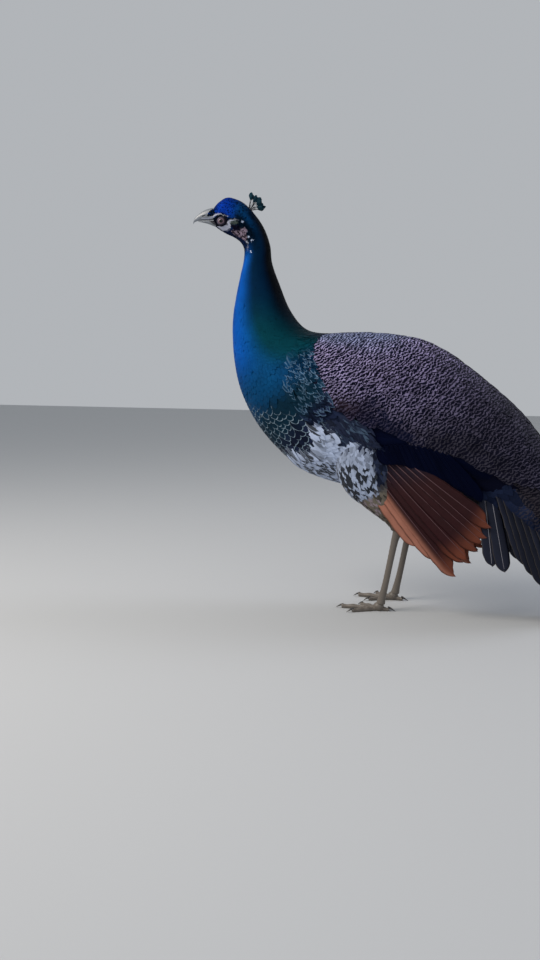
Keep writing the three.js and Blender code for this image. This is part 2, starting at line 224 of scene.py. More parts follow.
def tube(rings: Array) -> Shell:
    """A closed skin over rings, with a fan to the middle of each end ring.

    Args:
        rings: Shape (along, around, 3); around x along points outwards.

    Returns:
        A closed shell: the rings' points, then the two poles.
    """
    along, around = rings.shape[:2]
    corner = np.arange(along * around).reshape(along, around)
    beside = np.roll(corner, -1, axis=1)
    quads = np.stack([corner[:-1], beside[:-1], beside[1:], corner[1:]], -1).reshape(-1, 4)
    first = np.full(around, along * around)
    tris = [np.stack([first, beside[0], corner[0]], -1), np.stack([first + 1, corner[-1], beside[-1]],
        -1)]
    return Shell(with_poles(rings), quads, np.concatenate(tris))


def with_poles(rows: Array) -> Array:
    """Rows for a tube's points from rows for its rings: each pole takes its ring's mean."""
    flat = rows.reshape(-1, rows.shape[-1])
    return np.concatenate([flat, rows[0].mean(0)[None], rows[-1].mean(0)[None]])


class Rows(Enum):
    """How rows that points carry are kept in a mesh."""

    COLOUR = "FLOAT_COLOR"
    VECTOR = "FLOAT_VECTOR"
    UV = "UV"


ROW_KINDS = {2: Rows.UV, 3: Rows.VECTOR, 4: Rows.COLOUR}


def linked(name: str, data: bpy.types.ID) -> bpy.types.Object:
    """A new object of this data, linked to the scene."""
    made = bpy.data.objects.new(name, data)
    bpy.context.scene.collection.objects.link(made)
    return made


def make_object(name: str, shell: Shell, *finishes: Material) -> bpy.types.Object:
    """Makes a smooth mesh object of a shell, in metres in the part's own frame.

    Args:
        name: The piece's name.
        shell: Its faces, in millimetres from between the feet.
        *finishes: Its materials.

    Returns:
        The object, linked to the scene.
    """
    mesh = bpy.data.meshes.new(name)
    points = (shell.points + (0, FOOTPRINT_SHIFT, 0)) * METRES
    corners = np.concatenate([shell.quads.ravel(), shell.tris.ravel()]).astype(np.int32)
    sides = np.repeat([4, 3], [len(shell.quads), len(shell.tris)])
    mesh.vertices.add(len(points))
    mesh.vertices.foreach_set("co", points.astype(np.float32).ravel())
    mesh.loops.add(len(corners))
    mesh.loops.foreach_set("vertex_index", corners)
    mesh.polygons.add(len(sides))
    mesh.polygons.foreach_set("loop_start", (np.cumsum(sides) - sides).astype(np.int32))
    mesh.polygons.foreach_set("use_smooth", np.ones(len(sides), bool))
    for row_name, rows in shell.carried.items():
        kind = ROW_KINDS[rows.shape[-1]]
        rows = rows.astype(np.float32)
        if kind is Rows.UV:
            mesh.uv_layers.new(name=row_name).uv.foreach_set("vector", rows[corners].ravel())
        else:
            store = mesh.attributes.new(row_name, kind.value, "POINT").data
            store.foreach_set("color" if kind is Rows.COLOUR else "vector", rows.ravel())
    for finish in finishes:
        mesh.materials.append(finish)
    mesh.update(calc_edges=True)
    mesh.validate()
    return linked(name, mesh)


def place(piece: bpy.types.Object, slot: str, *nodes: str) -> bpy.types.Object:
    """Lets a piece ride on the bird and stands it in for solids.

    Args:
        piece: The piece.
        slot: The record's material slot; not used.
        *nodes: Solids that it replaces.

    Returns:
        The piece.
    """
    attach(piece, BODY)
    if nodes:
        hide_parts(*nodes)
    LOG.info("%s: %d faces", piece.name, len(piece.data.polygons))
    return piece


# ---- Surfaces that the coat lies on ----


def unrolled(along: Array, round_it: Array) -> Array:
    """Places on an unwrap, by shares along and round."""
    return np.stack([np.clip(along, 0, 1), round_it], -1)


class Surface(ABC):
    """A surface of two parameters, u from front to back and v round it."""

    PROBE = 0.004

    @abstractmethod
    def point(self, u: Array, v: Array, lift: Array | float = 0.0) -> Array:
        """Points on the surface, raised by lift millimetres."""

    @abstractmethod
    def unwrap(self, u: Array, v: Array) -> Array:
        """The surface's own unwrap, from 0 to 1 each way."""

    def slopes(self, u: Array, v: Array) -> tuple[Array, Array]:
        """How the point moves with each parameter, by central differences.

        Args:
            u: First parameter.
            v: Second parameter.

        Returns:
            The slope along u and the slope along v.
        """
        h = self.PROBE
        along = (self.point(u + h, v) - self.point(u - h, v)) / (2 * h)
        round_it = (self.point(u, v + h) - self.point(u, v - h)) / (2 * h)
        return along, round_it

    def step(self, u: Array, v: Array, ahead: Array, aside: Array) -> tuple[Array, Array]:
        """Turns a step in millimetres into a step in the parameters.

        Args:
            u: First parameter at the start.
            v: Second parameter at the start.
            ahead: Millimetres along the direction of u.
            aside: Millimetres square to that, towards v.

        Returns:
            The steps in u and v.
        """
        along, round_it = self.slopes(u, v)
        reach = np.linalg.norm(along, axis=-1)
        lean = (along * round_it).sum(-1) / reach
        square = np.sqrt(np.maximum((round_it**2).sum(-1) - lean**2, 1e-3))
        turn = aside / square
        return (ahead - turn * lean) / reach, turn


@dataclass(frozen=True)
class HeadTurn:
    """The head and upper neck turned to the left about an upright axis.

    Attributes:
        angle: Full turn in radians.
        axis_y: Where the axis stands.
        full: Rung up to which the head is fully turned.
        none: Rung where the turn has died out.
    """

    angle: float = math.radians(17)
    axis_y: float = -212.0
    full: float = 4.5
    none: float = 10.0

    def applied(self, points: Array, rung: Array | float = 0.0) -> Array:
        """Turns points about the axis by the share that their rung takes.

        Args:
            points: Points of the unturned bird.
            rung: The rung that each is on.

        Returns:
            The turned points.
        """
        angle = self.angle * (1 - smoothstep(self.full, self.none, np.asarray(rung, float)))
        x, y, z = np.moveaxis(points - (0, self.axis_y, 0), -1, 0)
        turned = [x * np.cos(angle) - y * np.sin(angle), x * np.sin(angle) + y * np.cos(angle), z]
        return np.stack(turned, -1) + (0, self.axis_y, 0)


# Rungs of the outline from bill base to the end of the tail coverts:
# dorsal y, dorsal z, ventral y, ventral z, half width.
RUNGS = np.array([[-288, 703, -287, 673, 8], [-278, 713.5, -276, 665, 15], [-263, 721.5, -264, 658, 19.5],
    [-246, 718, -251, 652, 21.5], [-230, 709, -241, 645, 21.5], [-213, 691, -235, 637, 21],
    [-197, 667, -232, 626, 21.5], [-186, 637, -234, 607, 23], [-182, 605, -239, 586, 26],
    [-168, 568, -247, 552, 31], [-147, 521, -253.5, 515, 39], [-119, 489, -254.5, 478, 49],
    [-83, 480, -250, 428, 60], [-40, 481, -236, 374, 71], [10, 481, -205, 317, 79],
    [57, 476, -160, 269, 83], [100, 467, -105, 236, 84], [140, 448, -45, 219, 82],
    [178, 422, 13, 211, 78], [215, 393, 67, 203, 72], [249, 364, 112, 193, 66], [276, 337, 150, 180, 60],
    [298, 308, 182, 170, 55], [318, 274, 208, 162, 51], [335, 236, 232, 156, 47],
    [349, 197, 258, 150, 41], [360, 160, 288, 140, 32], [368, 128, 320, 122, 20],
    [372, 108, 350, 106, 9]])
LAST_RUNG = len(RUNGS) - 1
TURN = HeadTurn()


class Body(Surface):
    """The bird from bill base to tail: half round, half deep, carried down the ladder of rungs.

    At rung u and angle v from the back, a point lies at the middle of the rung, plus half the
    rung's length times cos v along it, plus the half width times sin v to the side.
    """

    NEWTON_STEPS = 6

    def unturned(self, u: Array, v: Array, lift: Array | float = 0.0) -> Array:
        """Points before the head's turn.

        Args:
            u: Rung.
            v: Angle from the back, towards the left side.
            lift: Millimetres above the outline.

        Returns:
            The points.
        """
        row = spline(RUNGS, u)
        chord = row[..., 0:2] - row[..., 2:4]
        length = np.linalg.norm(chord, axis=-1)
        reach = ((length / 2 + lift) * np.cos(v) / length)[..., None]
        side = (row[..., 0:2] + row[..., 2:4]) / 2 + chord * reach
        return np.concatenate([((row[..., 4] + lift) * np.sin(v))[..., None], side], -1)

    def point(self, u: Array, v: Array, lift: Array | float = 0.0) -> Array:
        """Points on the posed bird."""
        return TURN.applied(self.unturned(u, v, lift), u)

    def unwrap(self, u: Array, v: Array) -> Array:
        """Rungs along, turns round."""
        return unrolled(u / LAST_RUNG, v / (2 * np.pi) + 0.5)

    def profile(self, u: Array, v: Array) -> Array:
        """Where a point shows in the unturned bird's side view: y and z."""
        return self.unturned(u, v)[..., 1:]

    def located(self, places: Array) -> tuple[Array, Array]:
        """Finds rung and angle of places in the head's side view, by Newton steps.

        Args:
            places: Their y and z.

        Returns:
            Rungs and angles on the left side.
        """
        u_grid, v_grid = np.meshgrid(np.linspace(0, 6, 61), np.linspace(0.3, 2.8, 51))
        known = self.profile(u_grid, v_grid).reshape(-1, 2)
        nearest = np.linalg.norm(places[..., None, :] - known, axis=-1).argmin(-1)
        u, v = u_grid.ravel()[nearest], v_grid.ravel()[nearest]
        h = self.PROBE
        cross = lambda a, b: a[..., 0] * b[..., 1] - a[..., 1] * b[..., 0]
        for _ in range(self.NEWTON_STEPS):
            miss = places - self.profile(u, v)
            along = (self.profile(u + h, v) - self.profile(u - h, v)) / (2 * h)
            round_it = (self.profile(u, v + h) - self.profile(u, v - h)) / (2 * h)
            size = cross(along, round_it)
            u, v = u + cross(miss, round_it) / size, v + cross(along, miss) / size
        return u, v


def by_rung(rows: Pairs, u: Array) -> Array:
    """Reads a table of rungs and values at any rung, straight between its rows."""
    return np.interp(u, *np.array(rows, float).T)


@dataclass(frozen=True)
class Layer:
    """A layer of wing feathers on the body: its two edges and how far it swells.

    Attributes:
        top: Rungs and degrees from the back of the upper edge.
        bottom: The same of the lower edge.
        depth: How far its middle stands out.
        edge: How far its edges stand out.
        rise: How quickly it swells from either end.
    """

    top: Pairs
    bottom: Pairs
    depth: float
    edge: float = 2.4
    rise: float = 4.0

    def shares(self, u: Array, degrees: Array) -> tuple[Array, Array]:
        """How far down and how far along the layer a place is, 0 to 1 inside it.

        Args:
            u: Rung.
            degrees: Degrees from the back.

        Returns:
            The shares down and along.
        """
        high, low = by_rung(self.top, u), by_rung(self.bottom, u)
        start, end = self.bottom[0][0], self.bottom[-1][0]
        return (degrees - high) / np.maximum(low - high, 1e-3), (u - start) / (end - start)

    def lift(self, u: Array, degrees: Array) -> Array:
        """How many millimetres it stands out; past its edges it keeps their height."""
        down, along = (np.clip(x, 0, 1) for x in self.shares(u, degrees))
        swell = np.minimum(1, self.rise * np.minimum(along, 1 - along))
        return self.edge + (self.depth - self.edge) * swell * np.sqrt(np.sin(np.pi * down))

    def inside(self, u: Array, degrees: Array, soft: float = 0.04) -> Array:
        """1 inside the layer, easing to 0 at its edges over the soft share of it."""
        down, along = self.shares(u, degrees)
        return np.prod([smoothstep(0, soft, x) for x in (down, 1 - down, along, 1 - along)], 0)


WING = Layer(depth=13, top=((12.3, 22), (14, 24), (19, 25), (24.2, 34)), bottom=((12.3, 30), (12.8, 50),
    (13.5, 76), (14.3, 88), (15.2, 93), (16.1, 97), (17.1, 95), (18.9, 98), (19.6, 95), (20.4, 92),
    (21.5, 90), (22.6, 83), (23.5, 70), (24.2, 46)))
BAND = Layer(depth=9, top=((15.6, 84), (19, 84), (22, 76), (23.3, 62)), bottom=((15.6, 98), (16.5, 105),
    (17.3, 111), (18.1, 115), (20.3, 116), (22, 113), (23.3, 92)))


def degrees_round(v: Array) -> Array:
    """Degrees from the back, 0 to 180, the same on both sides."""
    return np.degrees(np.abs(v))


class Wing(Body):
    """The body's surface raised by the wing coverts, which lie over the band."""

    OVER_BAND = 1.5

    def point(self, u: Array, v: Array, lift: Array | float = 0.0) -> Array:
        """Points over the coverts."""
        degrees = degrees_round(v)
        under = BAND.lift(u, degrees) * BAND.inside(u, degrees) + self.OVER_BAND
        return super().point(u, v, np.maximum(WING.lift(u, degrees), under) + lift)


class Band(Body):
    """The body's surface raised by the band of secondaries."""

    def point(self, u: Array, v: Array, lift: Array | float = 0.0) -> Array:
        """Points over the band."""
        return super().point(u, v, BAND.lift(u, degrees_round(v)) + lift)


@dataclass(frozen=True)
class Limb(Surface):
    """Round sections along a path; v runs from +X over the front.

    Attributes:
        sections: Rows of x, y, z, radius and how far it is squeezed sideways.
    """

    sections: tuple[tuple[float, float, float, float, float], ...]

    @property
    def last(self) -> int:
        """The highest u."""
        return len(self.sections) - 1

    def point(self, u: Array, v: Array, lift: Array | float = 0.0) -> Array:
        """Points round the limb."""
        rows = np.array(self.sections, float)
        row = spline(rows, u)
        along = unit(spline(rows, u + 0.02)[..., :3] - spline(rows, u - 0.02)[..., :3])
        side = unit(np.array([1.0, 0, 0]) - along * along[..., :1])
        radius = row[..., 3] + lift
        wide, high = radius * row[..., 4] * np.cos(v), radius * np.sin(v)
        return row[..., :3] + side * wide[..., None] + np.cross(along, side) * high[..., None]

    def unwrap(self, u: Array, v: Array) -> Array:
        """Sections along, turns round."""
        return unrolled(u / self.last, v / (2 * np.pi) % 1.0)


@dataclass(frozen=True)
class Mirrored(Surface):
    """Another surface, mirrored to the bird's right side, with v run the other way."""

    source: Surface

    def point(self, u: Array, v: Array, lift: Array | float = 0.0) -> Array:
        """The mirror image."""
        return self.source.point(u, -v, lift) * (-1, 1, 1)

    def unwrap(self, u: Array, v: Array) -> Array:
        """The source's unwrap."""
        return self.source.unwrap(u, -v)


# ---- Finishes ----


@dataclass
class Finish:
    """One material and the nodes that make it.

    Attributes:
        name: The real material.
    """

    name: str

    def __post_init__(self) -> None:
        """Starts an empty material."""
        self.material = bpy.data.materials.new(self.name)
        self.material.use_nodes = True
        self.tree = self.material.node_tree
        self.tree.nodes.clear()

    def add(self, kind: str, inputs: dict | None = None, **settings: object) -> bpy.types.Node:
        """Adds one node with its settings, values and links.

        Args:
            kind: The node's type after "ShaderNode".
            inputs: Sockets by name or number: a value, or a socket to link from.
            **settings: Properties of the node.

        Returns:
            The node.
        """
        node = self.tree.nodes.new("ShaderNode" + kind)
        for setting, value in settings.items():
            setattr(node, setting, value)
        for key, value in (inputs or {}).items():
            if isinstance(value, Socket):
                self.tree.links.new(value, node.inputs[key])
            else:
                node.inputs[key].default_value = value
        return node

    def sums(self, operation: str, *values: object) -> Socket:
        """The result of one Math node on numbers or sockets."""
        return self.add("Math", dict(enumerate(values)), operation=operation).outputs[0]

    def eased(self, value: Socket, low: float, high: float) -> Socket:
        """A socket's smooth step from 0 at low to 1 at high."""
        ends = {"Value": value, "From Min": low, "From Max": high}
        return self.add("MapRange", ends, interpolation_type="SMOOTHSTEP").outputs[0]

    def read(self, name: str, output: str = "Vector") -> Socket:
        """The rows of this name that each point carries."""
        return self.add("Attribute", attribute_name=name).outputs[output]

    def grained(self, scale: float, detail: float) -> Socket:
        """Cloudy noise fixed in the object, so many cells to the metre."""
        place = self.add("TexCoord").outputs["Object"]
        return self.add("TexNoise", {"Vector": place, "Scale": scale, "Detail": detail}).outputs[0]

    def finish(self, colour: Socket, value: Socket, height: Socket, deep: float,
            **gloss: object) -> Material:
        """Ends the material in one shader.

        Args:
            colour: Where its colour comes from.
            value: What the colour is multiplied by.
            height: The fine relief.
            deep: Metres that the relief is deep.
            **gloss: Constant values of the shader's sockets, with _ for a space.

        Returns:
            The material.
        """
        toned = self.add("VectorMath", {0: colour, "Scale": value}, operation="SCALE").outputs[0]
        bump = self.add("Bump", {"Height": height, "Strength": self.relief, "Distance": deep})
        sockets = {key.replace("_", " "): level for key, level in gloss.items()}
        shader = self.add("BsdfPrincipled", {"Base Color": toned, "Normal": bump.outputs[0], **sockets})
        self.add("OutputMaterial", {"Surface": shader.outputs[0]})
        return self.material


def rgba(hex_colour: str) -> tuple[float, float, float, float]:
    """A hex colour as four linear channels."""
    return (*linear(hex_colour), 1.0)


@dataclass
class Plumage(Finish):
    """Barbed feather vanes: keratin barbs side by side, which give a silky, combed surface.

    Every vane carries its own tint and accent. The accent shows as bars across the vane, along
    its edges or as a spot near its tip, by the three shares in marks.

    Attributes:
        roughness: Of the vane.
        metallic: Share of structural colour, which shines in its own hue.
        specular: Strength of the gloss.
        gloss_tint: Its hue.
        sheen: Strength of the velvety rim.
        bar_period: Millimetres from bar to bar.
        edge_width: Millimetres of the pale or dark rim.
        barb_period: Millimetres from barb to barb, drawn coarser than life so that it shows.
        relief: Strength of the barbs' relief.
    """

    roughness: float = 0.55
    metallic: float = 0.0
    specular: float = 0.2
    gloss_tint: str = "#ffffff"
    sheen: float = 0.03
    bar_period: float = 7.5
    edge_width: float = 1.3
    barb_period: float = 1.0
    relief: float = 0.35

    SPOT = (4.2, 3.6, 4.6)  # half across, half along and distance from the tip, in millimetres

    def build(self) -> Material:
        """Makes the material: bars, rims and spots over the tint, then barbs and mottling.

        Returns:
            The material.
        """
        add, sums = self.add, self.sums
        tint = add("Attribute", attribute_name="tint")
        edge_mm, tip_mm, across_mm = add("SeparateXYZ", {0: self.read("vane")}).outputs
        barred, rimmed, spotted = add("SeparateXYZ", {0: self.read("marks")}).outputs
        away = sums("ABSOLUTE", across_mm)

        wobble = sums("MULTIPLY_ADD", self.grained(190.0, 2.0), 9.0, -4.5)
        phase = sums("MULTIPLY_ADD", tint.outputs["Alpha"], self.bar_period, wobble)
        run = sums("ADD", sums("MULTIPLY_ADD", away, 0.55, tip_mm), phase)
        wave = sums("SINE", sums("MULTIPLY", run, 2 * math.pi / self.bar_period))
        bar = sums("MULTIPLY", self.eased(wave, 0.1, 0.6), barred)

        nearest = sums("MINIMUM", edge_mm, tip_mm)
        rim = sums("MULTIPLY", self.eased(nearest, self.edge_width, 0.4 * self.edge_width), rimmed)

        half_across, half_along, from_tip = self.SPOT
        over = sums("MULTIPLY", away, 1 / half_across)
        down = sums("MULTIPLY_ADD", tip_mm, 1 / half_along, -from_tip / half_along)
        spread = add("CombineXYZ", {0: over, 1: down}).outputs[0]
        radius = add("VectorMath", {0: spread}, operation="LENGTH").outputs["Value"]
        spot = sums("MULTIPLY", self.eased(radius, 1.1, 0.8), spotted)

        marked = sums("MAXIMUM", sums("MAXIMUM", bar, rim), spot)
        colours = {6: tint.outputs["Color"], 7: self.read("accent", "Color")}
        drawn = add("Mix", {0: marked, **colours}, data_type="RGBA").outputs[2]

        slant = sums("MULTIPLY_ADD", away, -0.9, tip_mm)
        barbs = sums("SINE", sums("MULTIPLY", slant, 2 * math.pi / self.barb_period))
        patchy = sums("MULTIPLY_ADD", self.grained(45.0, 3.0), 0.5, 0.75)
        value = sums("MULTIPLY_ADD", barbs, 0.07, patchy)
        quill = add("MapRange", {"Value": away, "From Min": 0.0, "From Max": 0.5}).outputs[0]
        return self.finish(drawn, value, sums("MULTIPLY_ADD", barbs, 0.5, quill), 0.0003,
            Roughness=self.roughness, Metallic=self.metallic, Sheen_Weight=self.sheen,
            Sheen_Roughness=0.45, IOR=1.55, Specular_IOR_Level=self.specular,
            Specular_Tint=rgba(self.gloss_tint))


# ---- Markings ----


# The bird's colours. Some also hold painted light: the neck's bright front and near-black nape, the pale
# sheen of the wing's top bars and the rufous glow along the primaries' lower edges.
COLOURS = {name: linear(tone) for name, tone in {"crown": "#042c86", "crown_dark": "#03101e",
    "crown_rear": "#073560", "throat": "#0a1a3a", "neck_front_lit": "#0a58b4", "neck_side": "#04203a",
    "neck_green": "#043540", "nape_shaded": "#010408", "breast": "#0b4470", "breast_dark": "#0f2a3a",
    "scallop": "#8aa0b0", "collar": "#6c8aa6", "white": "#a9b6d0", "spot": "#05080c", "flank": "#1a2238",
    "bar_ground": "#04061a", "bar_pale": "#9288ae", "bar_top_and_sheen": "#949dc4", "bar_brown": "#3f3c46",
    "patch": "#1c1216", "band": "#060a1e", "mantle": "#1c2236", "rump": "#16141a", "rump_pale": "#3d383c",
    "vent": "#38322f", "thigh": "#6b6459", "maroon": "#2c1013", "maroon_tip": "#6a3828",
    "rufous_and_glow": "#a06a58", "shaft": "#5e4649", "tail": "#1c1f2c", "tail_rim": "#5a5450",
    "tail_shaft": "#8c8a92", "bare_skin": "#a4a8b8", "lores": "#0a0916", "ear": "#3a3238",
    "fuzz": "#3d4642", "fleck": "#8c7c8c", "lid": "#6c6878", "scale": "#625a52", "iris": "#7a6470",
    "horn": "#6e747c", "horn_dark": "#3c4048", "horn_pale": "#9aa0a8", "claw": "#2a2522",
    "crest_shaft": "#3c3e42", "crest_tip": "#1a3440"}.items()}


class Face:
    """Where the face's marks lie, in the unturned head's side view.

    Each mark is a path of round dabs: rows of y, z and radius.
    """

    EYE = (-272.0, 679.4)
    STRIPE = ((-309, 685.4, 0.7), (-297, 684.8, 1.4), (-291.5, 686, 2.0), (-287, 688.7, 2.2),
        (-282.4, 690.8, 1.8), (-277.7, 691.8, 1.5), (-272.4, 691.6, 1.2), (-267, 689.2, 0.9),
        (-259.5, 686.6, 0.5))
    EYELINE = ((-287, 683.6, 1.9), (-281.5, 687, 1.3), (-277, 689.2, 1.0), (-270.5, 688.9, 1.0),
        (-265.4, 685.4, 1.4), (-259.3, 682.6, 1.4), (-250.7, 682.2, 1.3), (-245, 683, 0.8))
    CHEEK = ((-281, 670.4, 0.8), (-275, 668.5, 2.4), (-269.5, 666.6, 4.4), (-263, 666.8, 5.2),
        (-258, 668.6, 4.4), (-257.5, 672.5, 3.4), (-258.5, 676.5, 3.0), (-255, 679, 2.5),
        (-250.7, 678.9, 2.0), (-246.4, 679.8, 1.5), (-241.4, 680.5, 1.3))
    LORES = ((-295, 681.6, 1.2), (-291, 680.5, 2.6), (-286, 678.5, 4.2), (-281.5, 676, 4.0),
        (-278, 674, 2.5))
    EAR = ((-252.5, 671, 2.4), (-246.5, 666.8, 4.4), (-241, 666.2, 3.8))
    FLECKS = ((-251, 660.5, 2.4), (-243.5, 657.5, 4.4), (-235, 655.5, 6.4), (-230, 650.5, 5.2),
        (-227.5, 646, 2.5))
    GREY = ((-236, 663.5, 2.4), (-231.3, 663.6, 3.4), (-227.5, 660.5, 2.4))
    FUZZ = ((-253.5, 675.5, 2.5), (-248, 674.8, 3.0), (-243, 675.5, 2.4))
    STREAK = ((-224.5, 643.5, 1.6), (-223.8, 639.5, 2.4), (-223.6, 633.6, 2.2), (-223.2, 627, 0.9))
    SPECKS = (((-233, 676.7, 1.5),), ((-224.9, 659.2, 1.0),), ((-221.6, 650.2, 1.5),),
        ((-214.8, 643.8, 2.1),), ((-216.3, 623.5, 1.5),))
    FOREHEAD = ((-296, 690.5, 1.4), (-292, 693.5, 3.8), (-287, 695.5, 5.5))
    STEPS = 8

    @classmethod
    def near(cls, places: Array, mark: Points, soft: float = 0.6) -> Array:
        """1 inside a mark, easing to 0 over soft millimetres to either side of its edge."""
        rows = np.array(mark, float)
        at = np.linspace(0, len(rows) - 1, cls.STEPS * (len(rows) - 1) + 1)
        y, z, radius = (np.interp(at, np.arange(len(rows)), column) for column in rows.T)
        away = np.hypot(places[..., None, 0] - y, places[..., None, 1] - z)
        return smoothstep(-soft, soft, (radius - away).max(-1))

    @classmethod
    def from_eye(cls, places: Array) -> Array:
        """Distance from the eye's middle."""
        return np.linalg.norm(places - cls.EYE, axis=-1)

    @classmethod
    def bare(cls, places: Array, u: Array) -> Array:
        """1 on the bare white skin over and under the eye."""
        shown = np.maximum(cls.near(places, cls.STRIPE), cls.near(places, cls.CHEEK))
        return np.where(u < 6, shown, 0.0)


@dataclass
class Spot:
    """Places on the body to be coloured.

    Attributes:
        u: Rungs.
        v: Signed angles from the back.
        noise: An even random share for each place.
    """

    u: Array
    v: Array
    noise: Array

    def __post_init__(self) -> None:
        """Works out the degrees from the back and the side view."""
        self.degrees = degrees_round(self.v)
        self.profile = BIRD.profile(self.u, self.v)

    def share(self, low: float, high: float) -> Array:
        """Eases from 0 to 1 between two rungs."""
        return smoothstep(low, high, self.u)

    def round(self, low: float, high: float) -> Array:
        """Eases from 0 to 1 between two degrees from the back."""
        return smoothstep(low, high, self.degrees)

    def patch(self, u: float, degrees: float, reach_u: float, reach_degrees: float) -> Array:
        """A soft round patch, 1 in its middle."""
        away = ((self.u - u) / reach_u) ** 2 + ((self.degrees - degrees) / reach_degrees) ** 2
        return np.exp(-away)

    def shade(self, name: str, least: float, spread: float = 0.0) -> Array:
        """A colour of the palette, from least to least + spread as bright from place to place."""
        return COLOURS[name] * (least + spread * self.noise[..., None])


def paint_rows(tint: Array, accent: Array, bar: Array | float = 0.0, rim: Array | float = 0.0,
        spot: Array | float = 0.0) -> Paint:
    """Rows of what feathers show: their colours and how strongly each mark does.

    Args:
        tint: Ground colours.
        accent: Colours of the marks.
        bar: Strength of the bars across the vane.
        rim: Strength of its rim.
        spot: Strength of the spot near its tip.

    Returns:
        Rows named tint, accent and marks.
    """
    marks = stacked(tint.shape[:-1], bar, rim, spot)
    return {"tint": tint, "accent": np.broadcast_to(accent, tint.shape), "marks": marks}


BIRD = Body()


class Markings:
    """The plumage's colours and marks at any place, the same for skin and coat."""

    BARS_END = ((12.3, 33), (13.7, 78), (14.4, 79), (14.9, 89), (15.3, 93), (15.9, 86), (16.4, 81),
        (16.9, 86), (17.6, 87), (18.0, 90), (18.9, 99), (25, 99))
    WHITE_FROM = ((108, 15.3), (118, 15.4), (123, 15.9), (135, 16.0), (150, 15.4))
    SCALLOPS_FROM = ((95, 15.3), (104, 15.15), (111, 14.8), (118, 14.5), (126, 14.15), (150, 13.5))
    SCALLOPS_TO = ((106, 15.5), (116, 15.8), (124, 16.3))

    @staticmethod
    def neck(at: Spot) -> Array:
        """Head, neck and breast: cobalt in front, dark teal aside, near black behind; the bright front is
        partly painted light and the dark nape partly painted shade.
        """
        c = COLOURS
        # The cobalt front is partly the feathers' own colour and partly painted light falling on it; the
        # near-black nape is partly painted shade on the side turned from the light.
        front, behind = at.round(84, 140), 1 - at.round(26, 62)
        green = at.share(8.8, 11.4) * (1 - at.share(12.6, 13.6))
        return layered(c["neck_side"], (c["neck_green"], green), (c["neck_front_lit"], front),
            (c["breast"], at.share(11.6, 13.4) * at.round(70, 110)),
            (c["nape_shaded"], behind * (1 - 0.5 * green)), (c["breast_dark"], at.share(13.4, 14.4)
            * at.round(62, 95)))

    @staticmethod
    def head(at: Spot, tint: Array) -> Array:
        """Crown, lores, ear patch, throat and the pale specks behind them."""
        c, places, noise = COLOURS, at.profile, at.noise
        on_head, on_neck = at.u < 6.4, (at.u > 4) & (at.u < 8.5)
        near = lambda mark, soft=0.6: Face.near(places, mark, soft) * on_head
        crown = layered(c["crown"], (c["crown_rear"], at.share(2.0, 4.0)),
            (c["crown_dark"], 0.9 * at.share(3.6, 5.0) * (1 - at.round(40, 70))),
            (c["crown_dark"], (1 - at.share(0.2, 1.1)) * (noise < 0.75))) * np.where(noise < 0.2, 0.3,
            0.75 + 0.7 * noise)[..., None]
        behind = at.share(2.6, 3.6) * (1 - at.share(5.6, 7.4)) * at.round(60, 85)
        flecks = np.maximum(near(Face.FLECKS, 1.5), near(Face.GREY, 1.0)) * (noise > 0.5)
        dark = (1 - smoothstep(12.5, 15.0, Face.from_eye(places))) * on_head
        streak = Face.near(places, Face.STREAK, 0.8) * on_neck
        specks = [(c["white"] * 0.9, Face.near(places, speck, 0.4) * (at.u < 8.5))
            for speck in Face.SPECKS]
        return layered(tint, (crown, (1 - at.share(4.4, 6.2)) * (1 - at.round(84, 108))),
            (at.shade("crown_dark", 0.7, 0.6), behind), (at.shade("throat", 0.5, 1.0),
            (1 - at.share(5.4, 6.4)) * at.round(112, 135)), (at.shade("ear", 0.4, 0.9),
            near(Face.FLECKS, 1.5)), (at.shade("fleck", 0.4, 0.7), flecks), (at.shade("lores", 0.6, 1.4),
            near(Face.EAR, 1.2)), (at.shade("fuzz", 0.5, 1.1), near(Face.FUZZ, 1.5)),
            (at.shade("lores", 0.6, 1.0), np.maximum(dark, near(Face.LORES, 1.0))),
            (c["crown_dark"], near(Face.EYELINE)), (at.shade("bare_skin", 0.3, 0.4),
            streak * (noise > 0.35)), *specks, (c["bare_skin"], Face.bare(places, at.u)))

    @classmethod
    def white(cls, at: Spot) -> Array:
        """1 on the white of the belly, 0 in the cleft behind it, left dark as a painted shade of the
        crease; ragged at its edges.
        """
        start = smoothstep(-0.1, 0.35, at.u - by_rung(cls.WHITE_FROM, at.degrees))
        belly = start * (1 - at.share(16.9, 17.8)) * at.round(107, 116)
        # The crease between belly and thigh is kept out of the white: a painted shade there.
        shown = belly * (1 - at.patch(16.62, 112, 0.21, 9))
        return smoothstep(0.3, 0.6, shown + 0.6 * (at.noise - 0.5))

    @classmethod
    def trunk(cls, at: Spot, tint: Array) -> Array:
        """Mantle, rump, dark flank, white belly and vent."""
        wisp = at.share(15.8, 16.2) * (1 - at.share(17.6, 18.4)) * at.round(96, 103)
        return layered(tint, (COLOURS["mantle"], at.share(11.6, 12.6) * (1 - at.round(28, 42))),
            (at.shade("flank", 0.5, 1.0), at.share(14.7, 15.3) * at.round(60, 90)),
            (at.shade("white", 0.3), 0.4 * wisp * (at.noise > 0.6)), (at.shade("white", 0.85, 0.25),
            cls.white(at)), (at.shade("vent", 0.8, 0.4), at.share(18.6, 20.4) * at.round(118, 136)),
            (at.shade("rump", 0.7, 0.6), at.share(15.8, 17.8) * (1 - at.round(78, 92))),
            (at.shade("flank", 0.6, 0.7), cls.dark(at)))

    @staticmethod
    def dark(at: Spot) -> Array:
        """1 on the blue-black flank under the wing and behind the thigh."""
        aside = at.round(84, 91) * (1 - at.round(118, 130))
        return aside * at.share(17.0, 17.8) * (1 - at.share(23.6, 24.4))

    @classmethod
    def tint(cls, at: Spot) -> Array:
        """The ground colour at each place."""
        return cls.trunk(at, cls.head(at, cls.neck(at)))

